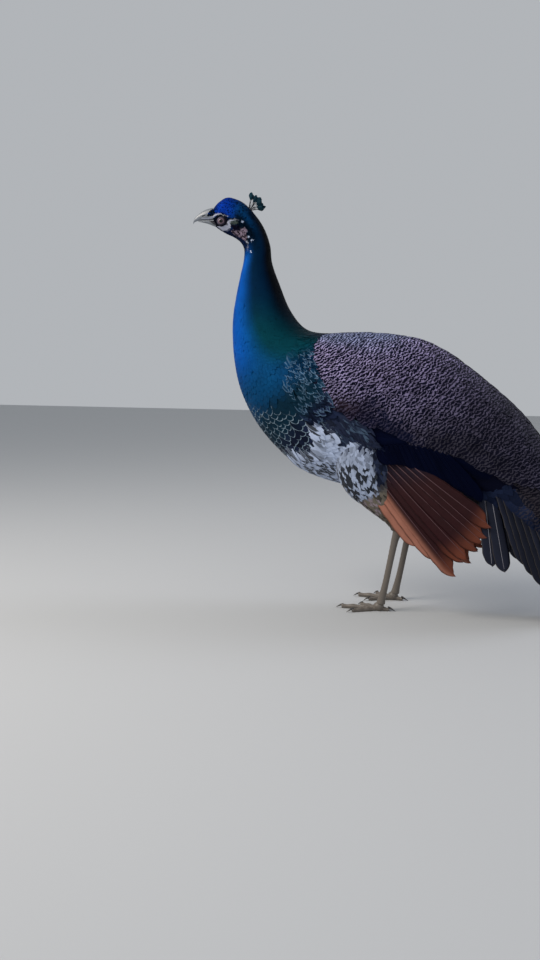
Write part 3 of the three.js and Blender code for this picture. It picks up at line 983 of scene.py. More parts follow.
    @classmethod
    def body(cls, at: Spot) -> Paint:
        """Ground colour, accent and marks of the body's own feathers.

        Args:
            at: The places.

        Returns:
            Rows named tint, accent and marks.
        """
        c = COLOURS
        white, wing = cls.white(at), cls.wing(at)
        past_first = smoothstep(-0.2, 0.2, at.u - by_rung(cls.SCALLOPS_FROM, at.degrees))
        past_last = smoothstep(-0.2, 0.3, at.u - by_rung(cls.SCALLOPS_TO, at.degrees))
        scallop = past_first * (1 - past_last) * at.round(101, 108)
        border = white * np.maximum(1 - at.share(15.8, 16.4), at.round(128, 138))
        blotch = border * (at.noise < 0.4)
        rump = at.share(16.4, 18.6) * (1 - at.round(96, 112)) * (1 - cls.dark(at))
        mantle = at.share(11.9, 12.7) * (1 - at.round(30, 44)) * (1 - rump)
        between = at.share(14.8, 15.8) * (1 - at.share(21.5, 25)) * (1 - at.round(60, 85))
        # The mantle's bars take the pale top colour: partly their own, partly a painted sheen.
        accent = layered(c["scallop"], (c["rump_pale"], at.share(15.9, 16.6) * (1 - at.round(104, 112))),
            (c["white"], white), (c["rump_pale"], rump), (c["bar_top_and_sheen"], mantle),
            (wing["accent"], between))
        rims = scallop * (0.85 + 0.15 * at.noise) * (1 - white)
        bars = np.maximum(rump * 0.75, mantle * 0.7)
        return paint_rows(layered(cls.tint(at), (c["spot"], 0.9 * blotch), (wing["tint"], between)),
            accent, bar=bars + (wing["marks"][..., 0] - bars) * between,
            rim=np.clip(np.maximum(rims, blotch * 0.8), 0, 1))

    @classmethod
    def collar(cls, at: Spot) -> Paint:
        """Soft dark feathers over the shoulder, some with a pale streak."""
        tint = cls.body(at)["tint"] * (0.75 + 0.5 * at.noise[..., None])
        streak = (at.noise > 0.55) * at.share(12.9, 13.5) * (1 - at.round(104, 112))
        return paint_rows(tint, COLOURS["collar"], rim=0.56 * at.noise * streak)

    @staticmethod
    def flank(at: Spot) -> Paint:
        """Loose dark down over the front of the secondaries, some of it greyer."""
        grey = 0.5 * smoothstep(0.55, 0.95, at.noise)
        tint = blend(at.shade("flank", 0.75, 0.75), COLOURS["collar"] * 0.5, grey)
        return paint_rows(tint, tint)

    @classmethod
    def wing(cls, at: Spot) -> Paint:
        """Wavy pinkish-buff bars on blue-black; greyer on top, partly a painted sheen; browner towards
        the rump.
        """
        c = COLOURS
        noise = at.noise[..., None]
        rear = at.share(15.2, 20.5)
        # The greyer top is partly the feathers' own colour and partly a painted sheen of the light from
        # above.
        top = (1 - at.share(13.4, 16.6)) * (1 - at.round(34, 58))
        past = at.degrees - by_rung(cls.BARS_END, at.u) + 8 * (at.noise - 0.5)
        plain = smoothstep(-3, 3, past) * (1 - at.share(18.2, 18.9))
        brown = at.patch(15.7, 90, 0.7, 9) + 0.35 * at.patch(16.0, 62, 0.8, 9)
        tint = layered(c["bar_ground"], (c["rump"], rear * 0.5), (c["mantle"] * 1.5, top * 0.8),
            (c["band"], plain), (c["patch"], np.clip(brown, 0, 1) * (0.5 + 0.5 * at.noise)))
        dull = np.clip(0.9 * rear + 0.3 * at.round(62, 92), 0, 1)
        plain = np.maximum(plain, 0.85 * at.patch(16.3, 84, 0.55, 6))
        accent = layered(c["bar_pale"], (c["bar_brown"], dull), (c["bar_top_and_sheen"], top))
        strength = (0.8 + 0.25 * at.noise) * (1 - 0.25 * rear) * (1 - 0.2 * top) * (1 - 0.8 * plain)
        return paint_rows(tint * (0.7 + 0.6 * noise), accent * (0.8 + 0.4 * noise),
            bar=np.clip(strength * (1 - 0.3 * at.patch(16.5, 62, 1.2, 14)), 0, 1),
            rim=0.25 * at.patch(18.4, 40, 1.2, 12))

    @staticmethod
    def band(at: Spot) -> Paint:
        """Blue-black, with a faint lighter edge to each feather, a painted sheen along it."""
        tint = at.shade("band", 0.7, 0.6)
        return paint_rows(tint, tint * 2.5, rim=0.5)


# ---- Coat ----


@dataclass(frozen=True)
class Vane:
    """The form of one feather's vane.

    Attributes:
        rows: Faces along it.
        columns: Faces across it.
        quill: Width at the root, as a share of the width.
        full: Share of the length by which it is full width.
        tip: Width at the tip, as a share.
        drawn_back: How far its sides stop short of the tip, as a share of the length.
        ragged: Unevenness of the tip, as a share of the length.
        camber: How far its sides bend down, as a share of half the width.
    """

    rows: int = 5
    columns: int = 4
    quill: float = 0.4
    full: float = 0.5
    tip: float = 0.72
    drawn_back: float = 0.2
    ragged: float = 0.03
    camber: float = 0.12


CONTOUR = Vane()
SMALL = Vane(rows=4, columns=2, ragged=0.05)
NECK_VANE = Vane(rows=4, columns=4, tip=0.66)
LARGE = Vane(rows=7, columns=6, ragged=0.02)
DOWNY = Vane(rows=4, columns=2, quill=0.5, full=0.4, tip=0.25, drawn_back=0.05, ragged=0.1)
LONG = Vane(rows=22, columns=6, quill=0.5, full=0.2, tip=0.6, drawn_back=0.06, ragged=0.006)


@dataclass
class Plumes:
    """Feathers laid on a surface: one entry each.

    Attributes:
        u: Root's first parameter.
        v: Root's second parameter.
        heading: Radians from the direction of u towards that of v.
        length: Millimetres.
        width: Millimetres.
        root_lift: Height of the root over the surface.
        tip_lift: Height of the tip.
        roll: How far one side is tipped up, as a share of half the width.
        bend: Radians by which the heading changes from root to tip.
        seed: A share from 0 to 1.
        paint: Rows named tint, accent and marks.
    """

    u: Array
    v: Array
    heading: Array
    length: Array
    width: Array
    root_lift: Array
    tip_lift: Array
    roll: Array
    bend: Array
    seed: Array
    paint: Paint

    PATCH = 0.003  # side of a feather's patch on the unwrap

    def laid(self, surface: Surface, vane: Vane, rng: np.random.Generator) -> Shell:
        """Bends every vane over the surface.

        A point at share a of the length and b of the half width lies a lengths along the
        heading and b half widths square to it, both measured on the surface, and its height
        runs from the root's to the tip's.

        Args:
            surface: What they lie on.
            vane: Their form.
            rng: Source of the ragged tips.

        Returns:
            One open grid for each feather, with its rows.
        """
        along = np.linspace(0, 1, vane.rows + 1) ** 0.85
        across = np.linspace(-1, 1, vane.columns + 1)
        u_mid, v_mid = (middle[..., None] for middle in self.midline(surface, along))
        turn = (self.heading[:, None] + self.bend[:, None] * along)[..., None]
        rise = vane.quill + (1 - vane.quill) * smoothstep(0, vane.full, along)
        fall = 1 - (1 - vane.tip) * smoothstep(0.72, 1.0, along)
        half = self.width[:, None] / 2 * rise * fall
        aside = half[..., None] * across
        back = vane.drawn_back * across**2 * smoothstep(0.45, 1.0, along)[:, None]
        fray = rng.uniform(-1, 1, (len(self.u), 1, len(across))) * vane.ragged
        ahead = self.length[:, None, None] * (fray * along[:, None] ** 4 - back)
        forward = ahead * np.cos(turn) - aside * np.sin(turn)
        sideways = ahead * np.sin(turn) + aside * np.cos(turn)
        du, dv = surface.step(*np.broadcast_arrays(u_mid, v_mid, forward, sideways))
        climb = self.tip_lift[:, None] + (self.root_lift - self.tip_lift)[:, None] * (1 - along) ** 2
        tipped = self.roll[:, None, None] * aside
        droop = vane.camber * half[..., None] * across**2
        points = surface.point(u_mid + du, v_mid + dv, climb[..., None] + tipped - droop)
        return self.carry(grids(points), surface, along, across, half)

    def midline(self, surface: Surface, along: Array) -> tuple[Array, Array]:
        """Walks from each root along its heading, a stretch for each row.

        Args:
            surface: What the feathers lie on.
            along: Shares of the length.

        Returns:
            Both parameters, a row for each feather.
        """
        us, vs = [self.u], [self.v]
        for start, end in zip(along[:-1], along[1:]):
            heading = self.heading + self.bend * (start + end) / 2
            stretch = self.length * (end - start)
            du, dv = surface.step(us[-1], vs[-1], stretch * np.cos(heading), stretch * np.sin(heading))
            us.append(us[-1] + du)
            vs.append(vs[-1] + dv)
        return np.stack(us, 1), np.stack(vs, 1)

    def carry(self, shell: Shell, surface: Surface, along: Array, across: Array, half: Array) -> Shell:
        """Gives each point its place in the vane, its paint and its place on the unwrap.

        Args:
            shell: The vanes' faces.
            surface: What they lie on.
            along: Shares of the length.
            across: Shares of the half width.
            half: Half width of each row of each feather.

        Returns:
            The shell.
        """
        shape = half.shape + across.shape
        each = lambda rows: np.broadcast_to(rows[:, None, None], shape + rows.shape[-1:])
        to_edge, to_tip = half[..., None] * (1 - np.abs(across)), self.length[:, None] * (1 - along)
        patch = stacked(shape, along[:, None] - 0.5, across * 0.5) * self.PATCH
        rows = {"vane": stacked(shape, to_edge, to_tip[..., None], half[..., None] * across),
            "tint": each(with_share(self.paint["tint"], self.seed)),
            "accent": each(with_share(self.paint["accent"], 1.0)), "marks": each(self.paint["marks"]),
            "OFBake": np.clip(surface.unwrap(self.u, self.v)[:, None, None] + patch, 0, 1)}
        return shell.painted(**{name: row.reshape(-1, row.shape[-1]) for name, row in rows.items()})


Field = Callable[[Array, Array], Array]  # of u and v


def table(*rows: tuple[float, float]) -> staticmethod:
    """A size read by rung between the rows of a small table, the same all round."""
    return staticmethod(lambda u, v: by_rung(rows, u))


def even(size: float) -> staticmethod:
    """A size that is the same everywhere."""
    return table((0, size))


@dataclass
class Coat:
    """Feathers over one region of a surface, in rows that overlap like tiles.

    Attributes:
        name: The piece's name.
        slot: The record's material slot.
        surface: What it lies on.
        vane: Form of its feathers.
        start: Lowest u of the tips.
        end: Highest u of the tips.
        length: Millimetres.
        width: Millimetres.
        covers: Whether a tip may lie there.
        paint: Colours and marks at a place.
        heading: Degrees towards the belly.
        sunk: How deep the roots lie.
        swell: How far the whole coat is fluffed out.
        proud: How far the tips stand out.
        fluff: Unevenness of heading and height, as a share.
        overlap: Length over the step from row to row.
        crowd: Width over the step from feather to feather.
        seed: Of its random draws.
        round_from: Lowest v.
        round_to: Highest v.
    """

    name: str
    slot: str
    surface: Surface
    vane: Vane
    start: float
    end: float
    length: Field
    width: Field
    covers: Field
    paint: Callable[[Spot], Paint]
    heading: Field = even(0.0)
    sunk: Field = even(3.0)
    swell: Field = even(0.0)
    proud: float = 0.3
    fluff: float = 0.1
    overlap: float = 2.8
    crowd: float = 1.6
    seed: int = 1
    round_from: float = -np.pi
    round_to: float = np.pi

    TIP_SHARE = 0.85  # where along a feather its scattered place lies
    STRETCHES = 4  # by which its root is found from there

    def scattered(self, rng: np.random.Generator) -> tuple[Array, Array]:
        """Rows of places, evenly spaced for the size of feather there, each row staggered.

        Args:
            rng: Source of the small shifts.

        Returns:
            Both parameters of each place.
        """
        v = np.linspace(self.round_from, self.round_to, 241)
        us, vs = [], []
        u, row = self.start, 0
        while u < self.end:
            at = np.full_like(v, u)
            along, round_it = self.surface.slopes(at, v)
            along, round_it = np.linalg.norm(along, axis=-1), np.linalg.norm(round_it, axis=-1)
            step = self.length(at, v) / self.overlap / along
            pitch = self.width(at, v) / self.crowd
            count = np.concatenate([[0], np.cumsum((round_it / pitch)[1:] * np.diff(v))])
            number = max(int(round(count[-1])), 3)
            even = (np.arange(number) + 0.5 * (row % 2) + rng.uniform(-0.16, 0.16, number)) / number
            places = np.interp(np.clip(even, 0, 1) * count[-1], count, v)
            finest = step.min()
            kept = rng.uniform(size=number) < finest / np.interp(places, v, step)
            us.append(u + finest * rng.uniform(-0.22, 0.22, kept.sum()))
            vs.append(places[kept])
            u, row = u + finest, row + 1
        return np.concatenate(us), np.concatenate(vs)

    def plumes(self, rng: np.random.Generator) -> Plumes:
        """Sizes, headings, heights and paint of the feathers whose tips lie in the region.

        Args:
            rng: Source of the unevenness.

        Returns:
            The feathers.
        """
        tip_u, tip_v = self.scattered(rng)
        keep = self.covers(tip_u, tip_v) > 0.5
        tip_u, tip_v = tip_u[keep], tip_v[keep]
        uneven = lambda share: 1 + share * rng.uniform(-1, 1, len(tip_u))
        length = self.length(tip_u, tip_v) * uneven(0.12)
        side = np.where(tip_v < 0, -1.0, 1.0)
        heading = side * np.radians(self.heading(tip_u, tip_v))
        heading = heading + rng.normal(0, self.fluff, len(tip_u))
        stretch = -self.TIP_SHARE * length / self.STRETCHES
        root_u, root_v = tip_u, tip_v
        for _ in range(self.STRETCHES):
            du, dv = self.surface.step(root_u, root_v, stretch * np.cos(heading),
                stretch * np.sin(heading))
            root_u, root_v = np.maximum(root_u + du, 0.0), root_v + dv
        spot = Spot(tip_u, tip_v, rng.uniform(size=len(tip_u)))
        swell = self.swell(tip_u, tip_v)
        return Plumes(u=root_u, v=root_v, heading=heading, length=length, width=self.width(tip_u, tip_v)
            * uneven(0.1), root_lift=swell - 0.85 * self.sunk(tip_u, tip_v), tip_lift=swell + self.proud
            * uneven(2 * self.fluff) + self.fluff * rng.uniform(-1, 2, len(tip_u)),
            roll=0.05 + rng.normal(0, 0.3 * self.fluff, len(tip_u)), bend=rng.normal(0, self.fluff,
            len(tip_u)), seed=rng.uniform(size=len(tip_u)), paint=self.paint(spot))

    def build(self, finish: Material, *nodes: str) -> bpy.types.Object:
        """Makes the coat's piece.

        Args:
            finish: Its material.
            *nodes: Solids that it replaces.

        Returns:
            The piece.
        """
        rng = np.random.default_rng(self.seed)
        shell = self.plumes(rng).laid(self.surface, self.vane, rng)
        return place(make_object(self.name, shell, finish), self.slot, *nodes)


def within(layer: Layer, u: Array, v: Array, high: float = 0.0, low: float = 1.0, ahead: float = 0.0,
        behind: float = 1.0) -> Array:
    """Whether a place lies within these shares down and along a layer.

    Args:
        layer: Of the wing.
        u: Rung.
        v: Angle from the back.
        high: Least share down.
        low: Greatest share down.
        ahead: Least share along.
        behind: Greatest share along.

    Returns:
        Truth for each place.
    """
    down, along = layer.shares(u, degrees_round(v))
    return (down >= high) & (down <= low) & (along >= ahead) & (along <= behind)


def over_shoulder(u: Array, v: Array) -> Array:
    """A ragged strip along the front edge of the wing."""
    degrees = degrees_round(v)
    past = degrees - by_rung(WING.bottom, u)
    inner = np.interp(u, [12.15, 13, 13.8, 14.5, 15.5], [-4, -5, -11, -9, -3])
    below = (past > inner) & (past < 18) & (u > 12.15) & (u < 15.5)
    return below | (np.abs(u - 12.25) < 0.25) & (degrees > 16) & (degrees < 50)


def over_secondaries(u: Array, v: Array) -> Array:
    """Over the front of the band of secondaries, below the coverts."""
    degrees = degrees_round(v)
    rear = np.interp(degrees, [97, 104, 110, 119], [16.9, 17.4, 17.8, 17.5])
    return (degrees > 97) & (degrees < 119) & (u < rear)


def under_layers(u: Array, v: Array) -> Array:
    """Well inside the wing's layers, where the body's own feathers never show."""
    return within(WING, u, v, 0.1, 0.86, 0.08, 0.97) | within(BAND, u, v, 0.1, 0.86, 0.24, 0.72)


class BodyCoats:
    """The coats of the head, neck, breast, belly, back and tail coverts."""

    DEPTH = table((0, 0.7), (2, 0.9), (6.5, 1.6), (11, 3.2), (14, 4.5), (26, 4.0), (28, 2.0))

    @staticmethod
    def face_covers(u: Array, v: Array) -> Array:
        """The head but for its bare skin, eyes and bill."""
        places = BIRD.profile(u, v)
        return (Face.bare(places, u) < 0.5) & (Face.from_eye(places) > 9.6)

    @staticmethod
    def mantle(u: Array, v: Array) -> Array:
        """Between the shoulders and behind them, where the blue ends."""
        edge = np.interp(u, [11.9, 12.3, 15.5, 15.7], [10, 36, 40, 180])
        return (u > 11.95) & (degrees_round(v) < edge)

    @classmethod
    def breast_covers(cls, u: Array, v: Array) -> Array:
        """The breast but for the mantle, what the wings hide and the downy belly."""
        return ~(under_layers(u, v) | cls.belly(u, v) | cls.mantle(u, v))

    @classmethod
    def back_covers(cls, u: Array, v: Array) -> Array:
        """Mantle, back and flanks."""
        return cls.mantle(u, v) & ~(under_layers(u, v) | cls.belly(u, v))

    @staticmethod
    def over_wing(u: Array, v: Array) -> Array:
        """How far the back's feathers rise to lie over the wing's upper edge."""
        degrees = degrees_round(v)
        beside = smoothstep(10, 22, degrees) * (degrees < 50)
        along = smoothstep(12.4, 12.9, u) * (1 - smoothstep(23.2, 24.2, u))
        return WING.lift(u, degrees) * beside * along

    @staticmethod
    def belly(u: Array, v: Array) -> Array:
        """The downy belly and vent."""
        front = np.interp(degrees_round(v), [112, 120, 140, 160], [15.7, 15.95, 15.9, 15.3])
        edge = np.interp(u, [15.7, 16.4, 17.4, 18.4, 20, 24, 28], [112, 102, 99, 104, 117, 128, 140])
        return (u > front) & (degrees_round(v) > edge)

    @staticmethod
    def downy_covers(u: Array, v: Array) -> Array:
        """The downy belly, running a little under its neighbours."""
        front = np.interp(degrees_round(v), [112, 120, 140, 160], [15.5, 15.75, 15.7, 15.1])
        edge = np.interp(u, [15.5, 16.4, 17.4, 18.4, 20, 24, 28], [108, 97, 94, 99, 112, 124, 136])
        return (u > front) & (degrees_round(v) > edge)

    def build(self, blue: Material, barred: Material, soft: Material) -> None:
        """Lays every coat of the body.

        Args:
            blue: Structural blue plumage.
            barred: Barred plumage.
            soft: Downy plumage.
        """
        shared = {"surface": BIRD, "sunk": self.DEPTH, "paint": Markings.body}
        trunk = {"length": table((12, 17), (13, 24), (14.2, 36), (19, 36), (21, 44), (26, 50)),
            "width": table((12, 9.5), (13, 12.5), (14, 20), (16, 20), (19, 17), (21, 18), (26, 18)),
            **shared}
        Coat("head_coat", "blue_plumage", vane=SMALL, start=0.12, end=6.5, seed=11, length=table((0, 3.6),
            (2, 5), (6.5, 8)), width=table((0, 1.9), (2, 2.6), (6.5, 3.8)), covers=self.face_covers,
            proud=0.25, fluff=0.14, crowd=2.0, **shared).build(blue)
        Coat("neck_coat", "blue_plumage", vane=NECK_VANE, start=6.5, end=12.7, seed=12,
            length=table((6.5, 8), (9, 11), (11, 14), (12, 17)), width=table((6.5, 3.8), (9, 5.4),
            (11, 7.4), (12, 9.5)), covers=even(1.0), proud=0.15, fluff=0.04, overlap=3.0, crowd=1.9,
            **shared).build(blue)
        Coat("breast_coat", "blue_plumage", vane=CONTOUR, start=12.0, end=15.6, seed=13,
            covers=self.breast_covers, proud=0.3, fluff=0.05, crowd=1.8, **trunk).build(blue)
        Coat("back_coat", "dark_coverts", vane=CONTOUR, start=11.9, end=27.98, seed=14,
            covers=self.back_covers, proud=0.6, fluff=0.08, swell=self.over_wing, **trunk).build(barred)
        Coat("belly_coat", "body_plumage", vane=DOWNY, start=14.9, end=27.9, seed=15,
            length=table((15, 26), (18, 34), (22, 40), (28, 34)), width=table((15, 9), (18, 8), (28, 8)),
            swell=lambda u, v: 4.0 * Markings.white(Spot(u, v, 0.5 + 0 * u)), covers=self.downy_covers,
            proud=1.2, fluff=0.2, overlap=4.0, crowd=1.9, **shared).build(soft)


@dataclass
class WingCoats:
    """The barred coverts, loose edges and blue-black band of one wing.

    Attributes:
        side: 1 for the left wing, -1 for the right.
    """

    side: int

    SLATS = 16

    def __post_init__(self) -> None:
        """Names the side and finds the angles it covers."""
        self.name = side_name(self.side)
        low, high = (0.0, np.pi) if self.side > 0 else (-np.pi, 0.0)
        self.reach = {"round_from": low, "round_to": high}

    @staticmethod
    def heading(u: Array, v: Array) -> Array:
        """Feathers point down at the shoulder and back along the body behind it."""
        low = smoothstep(28, 78, degrees_round(v))
        return 6 + 34 * low * (1 - smoothstep(15.5, 20.5, u)) - 10 * (1 - low) * smoothstep(19, 23, u)

    def coverts(self, finish: Material) -> None:
        """Lays the wing's coverts.

        Args:
            finish: Their material.
        """
        Coat(f"wing_coat_{self.name}", "barred_plumage", Wing(), LARGE, 12.3, 24.2,
            length=table((12.5, 20), (16, 26), (20, 34), (24, 42)), width=table((12.5, 11.5), (16, 14),
            (20, 16), (24, 18)), crowd=2.0, covers=lambda u, v: within(WING, u, v), paint=Markings.wing,
            heading=self.heading, proud=0.5, fluff=0.07, sunk=even(3.4), seed=20 + self.side,
            **self.reach).build(finish, f"wing_coverts_{self.name}")

    def flank(self, finish: Material) -> None:
        """Lays the loose flank feathers that fall over the front of the secondaries.

        Args:
            finish: Their material.
        """
        Coat(f"flank_coat_{self.name}", "body_plumage", Band(), DOWNY, 16.3, 18.0, length=even(30),
            width=even(4.4), covers=over_secondaries, paint=Markings.flank, heading=even(18), proud=1.2,
            fluff=0.24, sunk=even(4.0), overlap=3.4, crowd=1.7, seed=80 + self.side,
            **self.reach).build(finish)

    def collar(self, finish: Material) -> None:
        """Lays the breast's feathers that fall over the shoulder's front edge.

        Args:
            finish: Their material.
        """
        Coat(f"collar_coat_{self.name}", "blue_plumage", Wing(), DOWNY, 11.9, 15.5, length=table((12, 14),
            (13, 20), (15, 27)), width=table((12, 5), (13, 6.5), (15, 8.5)), covers=over_shoulder,
            paint=Markings.collar, heading=even(8), proud=1.6, fluff=0.14, overlap=3.6, crowd=2.0,
            sunk=even(4.5), seed=70 + self.side, **self.reach).build(finish)

    def band(self, finish: Material) -> None:
        """Lays the secondaries as long slats, each under the one above it.

        Args:
            finish: Their material.
        """
        side, surface = self.side, Band()
        rng = np.random.default_rng(30 + side)
        share = (np.arange(self.SLATS) + 0.5) / self.SLATS * 1.32
        level = np.ones(self.SLATS)
        start = 15.7 + 1.3 * share
        end = 22.9 - 0.5 * np.abs(share - 0.35) - 0.6 * np.maximum(share - 1, 0)
        v0, v1 = (side * np.radians(by_rung(BAND.top, u) * (1 - share) + by_rung(BAND.bottom, u) * share)
            for u in (start, end))
        reach = surface.point(end, v1) - surface.point(start, v0)
        along, round_it = (unit(slope) for slope in surface.slopes(start, v0))
        aim = unit(reach)
        spot = Spot(start, v0, rng.uniform(size=self.SLATS))
        plumes = Plumes(u=start, v=v0, heading=np.arctan2((aim * round_it).sum(-1),
            (aim * along).sum(-1)), length=np.linalg.norm(reach, axis=-1) * 1.02, width=30.0 * level,
            root_lift=-2.0 - share, tip_lift=1.6 - 1.0 * share, roll=side * -0.09 * level,
            bend=0.0 * level, seed=rng.uniform(size=self.SLATS), paint=Markings.band(spot))
        piece = make_object(f"band_{self.name}", plumes.laid(surface, LONG, rng), finish)
        place(piece, "blue_black_plumage", f"secondaries_{self.name}")


# ---- Long feathers ----


def mirrored(shell: Shell) -> Shell:
    """The same shell on the bird's other side, its faces still pointing out."""
    carried = {name: rows.copy() for name, rows in shell.carried.items()}
    if "OFBake" in carried:
        carried["OFBake"][:, 0] = 1 - carried["OFBake"][:, 0]
    return Shell(shell.points * (-1, 1, 1), shell.quads[:, ::-1], shell.tris[:, ::-1], carried)


def both(left: Shell) -> tuple[tuple[str, Shell], ...]:
    """The left side's shell and its mirror image, each with its side's name."""
    return ("left", left), ("right", mirrored(left))


def plain_rows(count: int, colour: Array, **rows: Array) -> Paint:
    """Rows for points that show one plain colour.

    Args:
        count: How many points.
        colour: Linear colour.
        **rows: Rows to use in place of the plain ones.

    Returns:
        Rows named tint, accent, vane and marks.
    """
    plain = {"tint": np.append(colour, 0.5), "accent": np.append(colour, 1.0),
        "vane": np.array([9.0, 90.0, 9.0]), "marks": np.zeros(3)}
    plain.update(rows)
    return {name: np.broadcast_to(row, (count, row.shape[-1])) for name, row in plain.items()}


@dataclass(frozen=True)
class Fan:
    """Long feathers in a fan: quills spaced along a curve of roots, tips along a curve of tips.

    Attributes:
        name: The piece's name.
        slot: The record's material slot.
        count: Feathers on one side.
        width: Of a feather.
        roots: Points of the curve of roots.
        tips: Points of the curve of tips.
        stack: Millimetres by which each feather stands over the one before it.
        roll: How far its lower edge is tipped out, as a slope.
        ridge: Share of its sideways lean that the first feather keeps.
        bow: How far its middle stands out, as a share of its length.
        tint: Colour of the vane.
        tip_tint: Colour towards the tip.
        low_tint: Colour of the lowest feathers' lower sides: partly their own chestnut, partly a painted
            glow of light through them.
        lows: How many those are.
        quill_tint: Colour of the shaft.
        accent: Colour of its rim.
        rim: How strongly the rim shows.
        slant: How far the tip is drawn out on its lower side, as a share of the width.
        replaces: Whether it stands in for solids of its name.
        seed: Of its random draws.
    """

    name: str
    slot: str
    count: int
    width: float
    roots: Points
    tips: Points
    stack: float
    roll: float = 0.07
    ridge: float = 1.0
    bow: float = 0.02
    tint: str = "maroon"
    tip_tint: str = "maroon_tip"
    low_tint: str = "rufous_and_glow"
    lows: int = 0
    quill_tint: str = "shaft"
    accent: str = "shaft"
    rim: float = 0.25
    slant: float = 0.0
    replaces: bool = True
    seed: int = 40

    QUILL = 0.35  # half width at the root, as a share
    TIP_ROUND = 0.2  # how round the tip is, as a share of the width
    THICK = 0.5
    ROWS = 24
    TIP_ROWS = 12
    COLUMNS = 8
    SHAFT = (0.95, 0.3)  # radius of the shaft at root and tip
    SHAFT_SIDES = 6

    OVERLAP = 1.0  # of the two sides of a joined fan

    def outline(self, length: float) -> tuple[Array, Array]:
        """Half widths of a vane and how far along they are.

        From the quill it widens along a parabola up to its shoulder, and its tip is closed by
        a second one, so that it ends rounded.

        Args:
            length: Of the feather.

        Returns:
            Millimetres along, and half widths.
        """
        half = self.width / 2
        shoulder = max(length / 2, length - self.width)
        rise = np.linspace(0, 1, self.ROWS, endpoint=False)
        fall = np.linspace(0, 1, self.TIP_ROWS)
        corner = length - self.width * self.TIP_ROUND
        widening = half * (self.QUILL + (1 - self.QUILL) * (1 - (1 - rise) ** 2))
        closing = half * np.maximum(1 - fall**2, 0.02)
        along = (1 - fall) ** 2 * shoulder + 2 * fall * (1 - fall) * corner + fall**2 * length
        return np.concatenate([rise * shoulder, along]), np.concatenate([widening, closing])

    def placed(self) -> list[tuple[Array, Array, Array, Array, float]]:
        """Root, three directions and length of each feather of the left side."""
        roots, tips = np.array(self.roots, float), np.array(self.tips, float)
        found = []
        for k, share in enumerate(np.linspace(0, 1, self.count)):
            start = spline(roots, share * (len(roots) - 1))
            at = share * (len(tips) - 1)
            reach = spline(tips, at) - start
            tangent = spline(tips, at + 0.01) - spline(tips, at - 0.01)
            facing = unit(np.cross(tangent, reach))
            keep = self.ridge + (1 - self.ridge) * min(1.0, share / 0.4)
            facing = unit(facing * np.sign(facing[0]) * (keep, 1, 1))
            along = unit(reach)
            across = unit(np.cross(along, facing))
            out = np.cross(across, along)
            length = float(np.linalg.norm(reach))
            found.append((start + out * self.stack * k, along, across, out, length))
        return found

    def feather(self, k: int, root: Array, along: Array, across: Array, out: Array, length: float,
            rng: np.random.Generator) -> Shell:
        """One feather: a thin closed vane and its raised shaft.

        At distance s from the root and share b of the half width, the vane stands
        bow * 4 a (1 - a) * length out of its plane, is tipped by its roll, and droops with b
        squared at its sides.

        Args:
            k: Its number in the fan.
            root: Where it starts.
            along: Towards its tip.
            across: Towards its lower edge.
            out: Out of its face.
            length: Of the feather.
            rng: Source of its unevenness.

        Returns:
            Its shell.
        """
        s, half = (row[:, None] for row in self.outline(length))
        share = s / length
        there_and_back = lambda row: np.concatenate([row, row[-2:0:-1]])
        b = np.linspace(-1, 1, self.COLUMNS + 1)
        around = there_and_back(b)
        top = np.repeat([1.0, -1.0], [len(b), len(b) - 2])
        wear = there_and_back(rng.normal(0, 0.006 * length, len(b)))
        bend = rng.normal(0, 0.01) * length
        thickness = self.THICK / 2 * top * np.sqrt(np.maximum(1 - around**2, 0))
        aside = half * around * (1 + 0.03 * np.sin(s * rng.uniform(0.2, 0.35)))
        arch = self.bow * 4 * share * (1 - share) * length
        height = arch + self.roll * aside - 0.1 * half * around**2 + thickness
        forward = s + (wear + self.slant * self.width * around) * share**6
        drifted = aside + bend * share**2
        rings = (root + along * forward[..., None] + across * drifted[..., None] + out * height[...,
            None])
        vane, shape = tube(rings), aside.shape
        ground = blend(COLOURS[self.tint], COLOURS[self.tip_tint], smoothstep(0.78, 0.98, share))
        # Each feather darkens to blue-black towards its root: a painted shade under the coverts.
        painted_root_shade = 0.7 * (1 - smoothstep(0.1, 0.32, share))
        ground = blend(ground * rng.uniform(0.8, 1.2), COLOURS["band"], painted_root_shade)
        # The lowest feathers' lower sides turn rufous: partly their own chestnut, partly a painted glow
        # of light through the thin vanes.
        if k < self.lows:
            edge = smoothstep(0.5 * k - 0.9, 0.3 * k + 0.4, around) + 0 * aside
            ground = blend(ground, COLOURS[self.low_tint], edge)
        ground = np.broadcast_to(ground, shape + (3,))
        bake = 0.5 * (k + 0.5 + 0.42 * around) / self.count, 0.02 + 0.9 * share
        carried = {"tint": with_share(ground, rng.uniform()), "vane": stacked(shape,
            half * (1 - np.abs(around)), length - s, aside), "OFBake": stacked(shape, *bake)}
        vane.painted(**{name: with_poles(rows) for name, rows in carried.items()})
        vane.painted(accent=np.append(COLOURS[self.accent], 1.0), marks=np.array([0.0, self.rim, 0.0]))
        return joined([vane, self.shaft(k, rings, share)])

